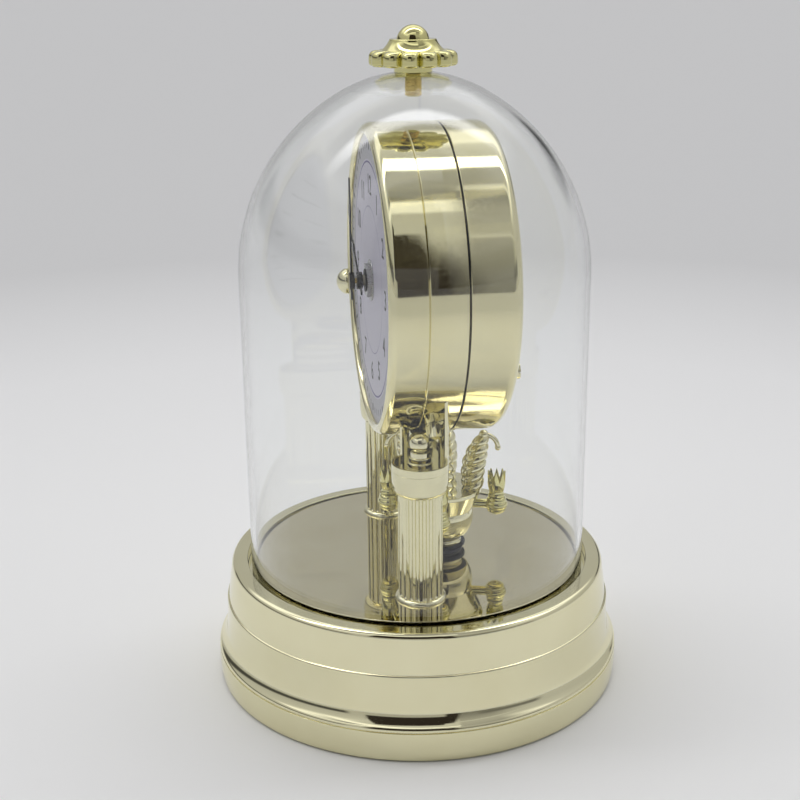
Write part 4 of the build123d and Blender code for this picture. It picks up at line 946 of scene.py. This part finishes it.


# Stage: one pale floor, in metres, with a painted pool of light: brightest round the clock and greying with
# distance
def buildStage():
    ground = {"radius": 30.0, "corners": 96, "nearStart": 0.12, "fadeStart": 0.42, "fadeEnd": 0.75}
    material, tree, surface = newShader("floor with painted light pool")
    away = lengthOf(tree, objectCoords(tree))
    # painted light: brighter round the clock, lifting its shadow, and greying farther out
    near = remap(tree, away, 0.0, 1.0, ground["nearStart"], ground["fadeStart"])
    far = remap(tree, away, 0.0, 1.0, ground["fadeStart"], ground["fadeEnd"])
    poolTone = mixColors(tree, near, (0.90, 0.90, 0.905), (0.81, 0.81, 0.82))
    poolTone = mixColors(tree, far, poolTone, (0.63, 0.63, 0.64))
    fill(tree, surface, {"Base Color": poolTone, "Roughness": 0.85, "Specular IOR Level": 0.2})
    count = ground["corners"]
    edge = [(*polar(ground["radius"], tau * k / count), 0.0) for k in range(count)]
    mesh = bpy.data.meshes.new("floor")
    mesh.from_pydata(edge, [], [tuple(range(count))])
    mesh.materials.append(material)
    floor = bpy.data.objects.new("floor", mesh)
    scene.collection.objects.link(floor)
    floor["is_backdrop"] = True


# The room that the plating mirrors: grey walls, a bright ceiling with a lamp strip, and dark panels
def buildWorld():
    # brightness by height on the walls, and by tilt in degrees across the ceiling, in front and at the back
    walls = ((0.0, 0.37), (0.30, 0.36), (0.58, 0.42), (0.68, 0.90), (0.90, 0.90), (0.96, 0.60), (1.0, 0.60))
    bands = ((0, 0.30), (20, 0.36), (36, 0.42), (44, 0.46), (58, 0.44), (60, 0.85), (67, 0.85), (69, 0.18),
             (76, 0.22), (80, 0.30), (94, 0.34), (97, 3.4), (105, 3.4), (107, 0.44), (116, 0.50), (122, 0.95),
             (138, 0.90), (146, 0.36), (170, 0.33), (180, 0.37))
    rearBands = ((0, 0.14), (16, 0.20), (38, 0.30), (40, 0.48), (43, 0.34), (60, 0.30), (70, 0.20),
                 (75, 0.24), (76.5, 0.62), (79, 0.60), (81, 0.30), (95, 0.36), (97.5, 3.2), (104, 3.2),
                 (106.5, 0.50), (120, 0.60), (124, 0.95), (138, 0.90), (146, 0.36), (170, 0.33), (180, 0.37))
    # azimuths and elevations in degrees, colour, soft edge in degrees
    panels = (((-150.0, -48.0), (5.0, 15.0), (0.05, 0.05, 0.05), 4.0),
              ((24.0, 60.0), (5.0, 15.0), (0.12, 0.12, 0.12), 5.0),
              ((124.0, 150.0), (5.0, 15.0), (0.05, 0.05, 0.05), 4.0),
              ((-38.0, 7.0), (11.0, 49.0), (0.022, 0.018, 0.016), 1.5),
              ((5.0, 12.5), (-2.0, 43.0), (0.022, 0.018, 0.016), 2.0))
    room = {"strength": 1.35, "sideFrom": 0.50, "sideTo": 0.75, "rearFrom": 0.203, "rearTo": 0.214}
    world = bpy.data.worlds.new("room")
    scene.world = world
    world.use_nodes = True
    tree = world.node_tree
    tree.nodes.clear()
    axes = splitAxes(tree, addNode(tree, "TexCoord", {})["Generated"])
    azimuth = mathOf(tree, "ARCTAN2", axes["Y"], axes["X"])
    elevation = mathOf(tree, "ARCSINE", axes["Z"])
    height = mathOf(tree, "MAXIMUM", axes["Z"], 0.0)
    tilt = mathOf(tree, "DIVIDE", mathOf(tree, "ARCTAN2", height, axes["X"]), pi)
    across, rear = (levelRamp(tree, tilt, [(degrees / 180, level) for degrees, level in steps])
                    for steps in (bands, rearBands))
    behind = remap(tree, axes["Y"], 0.0, 1.0, room["rearFrom"], room["rearTo"])
    aside = remap(tree, mathOf(tree, "ABSOLUTE", axes["Y"]), 0.0, 1.0, room["sideFrom"], room["sideTo"])
    light = mixColors(tree, behind, across, rear)
    light = mixColors(tree, aside, light, levelRamp(tree, axes["Z"], walls))
    for sides, heights, color, edge in panels:
        mask = mathOf(tree, "MULTIPLY", windowOf(tree, azimuth, *sides, edge),
                      windowOf(tree, elevation, *heights, edge))
        light = mixColors(tree, mask, light, color)
    back = addNode(tree, "Background", {"Color": light, "Strength": room["strength"]})
    addNode(tree, "OutputWorld", {"Surface": back["Background"]})


def levelRamp(tree, value, steps):
    ramp = tree.nodes.new("ShaderNodeValToRGB")
    while len(ramp.color_ramp.elements) < len(steps):
        ramp.color_ramp.elements.new(0.5)
    for element, (position, level) in zip(ramp.color_ramp.elements, steps):
        element.position = position
        element.color = (level, level, level, 1)
    tree.links.new(value, ramp.inputs["Fac"])
    return ramp.outputs["Color"]


# One inside a window of angles, in degrees, fading to nought over its soft edge
def windowOf(tree, angle, low, high, edge):
    offset = mathOf(tree, "SUBTRACT", angle, radians((low + high) / 2))
    half = (high - low) / 2
    return remap(tree, mathOf(tree, "ABSOLUTE", offset), 1.0, 0.0, radians(half - edge / 2),
                 radians(half + edge / 2))


# The camera that took the photo, from the pinhole fit
def addCamera():
    view = {"azimuth": 79.98, "distance": 0.46151, "height": 0.25388, "yaw": -0.69, "pitch": 18.12,
            "roll": 0.594, "lens": 60.346, "sensor": 36.0, "nearest": 0.01}
    data = bpy.data.cameras.new("camera")
    data.sensor_width = data.sensor_height = view["sensor"]
    data.lens, data.clip_start = view["lens"], view["nearest"]
    camera = bpy.data.objects.new("camera", data)
    spot = at(*polar(view["distance"], radians(view["azimuth"] - 90)), view["height"])
    turns = ((view["azimuth"] - view["yaw"], "Z"), (90 - view["pitch"], "X"), (-view["roll"], "Z"))
    for angle, axis in turns:
        spot = spot @ Matrix.Rotation(radians(angle), 4, axis)
    camera.matrix_world = spot
    scene.collection.objects.link(camera)
    bpy.context.scene.camera = camera


buildStage()
buildWorld()
addCamera()
bpy.context.scene.view_settings.view_transform = "Standard"
low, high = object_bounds()
print("stage, room and camera")
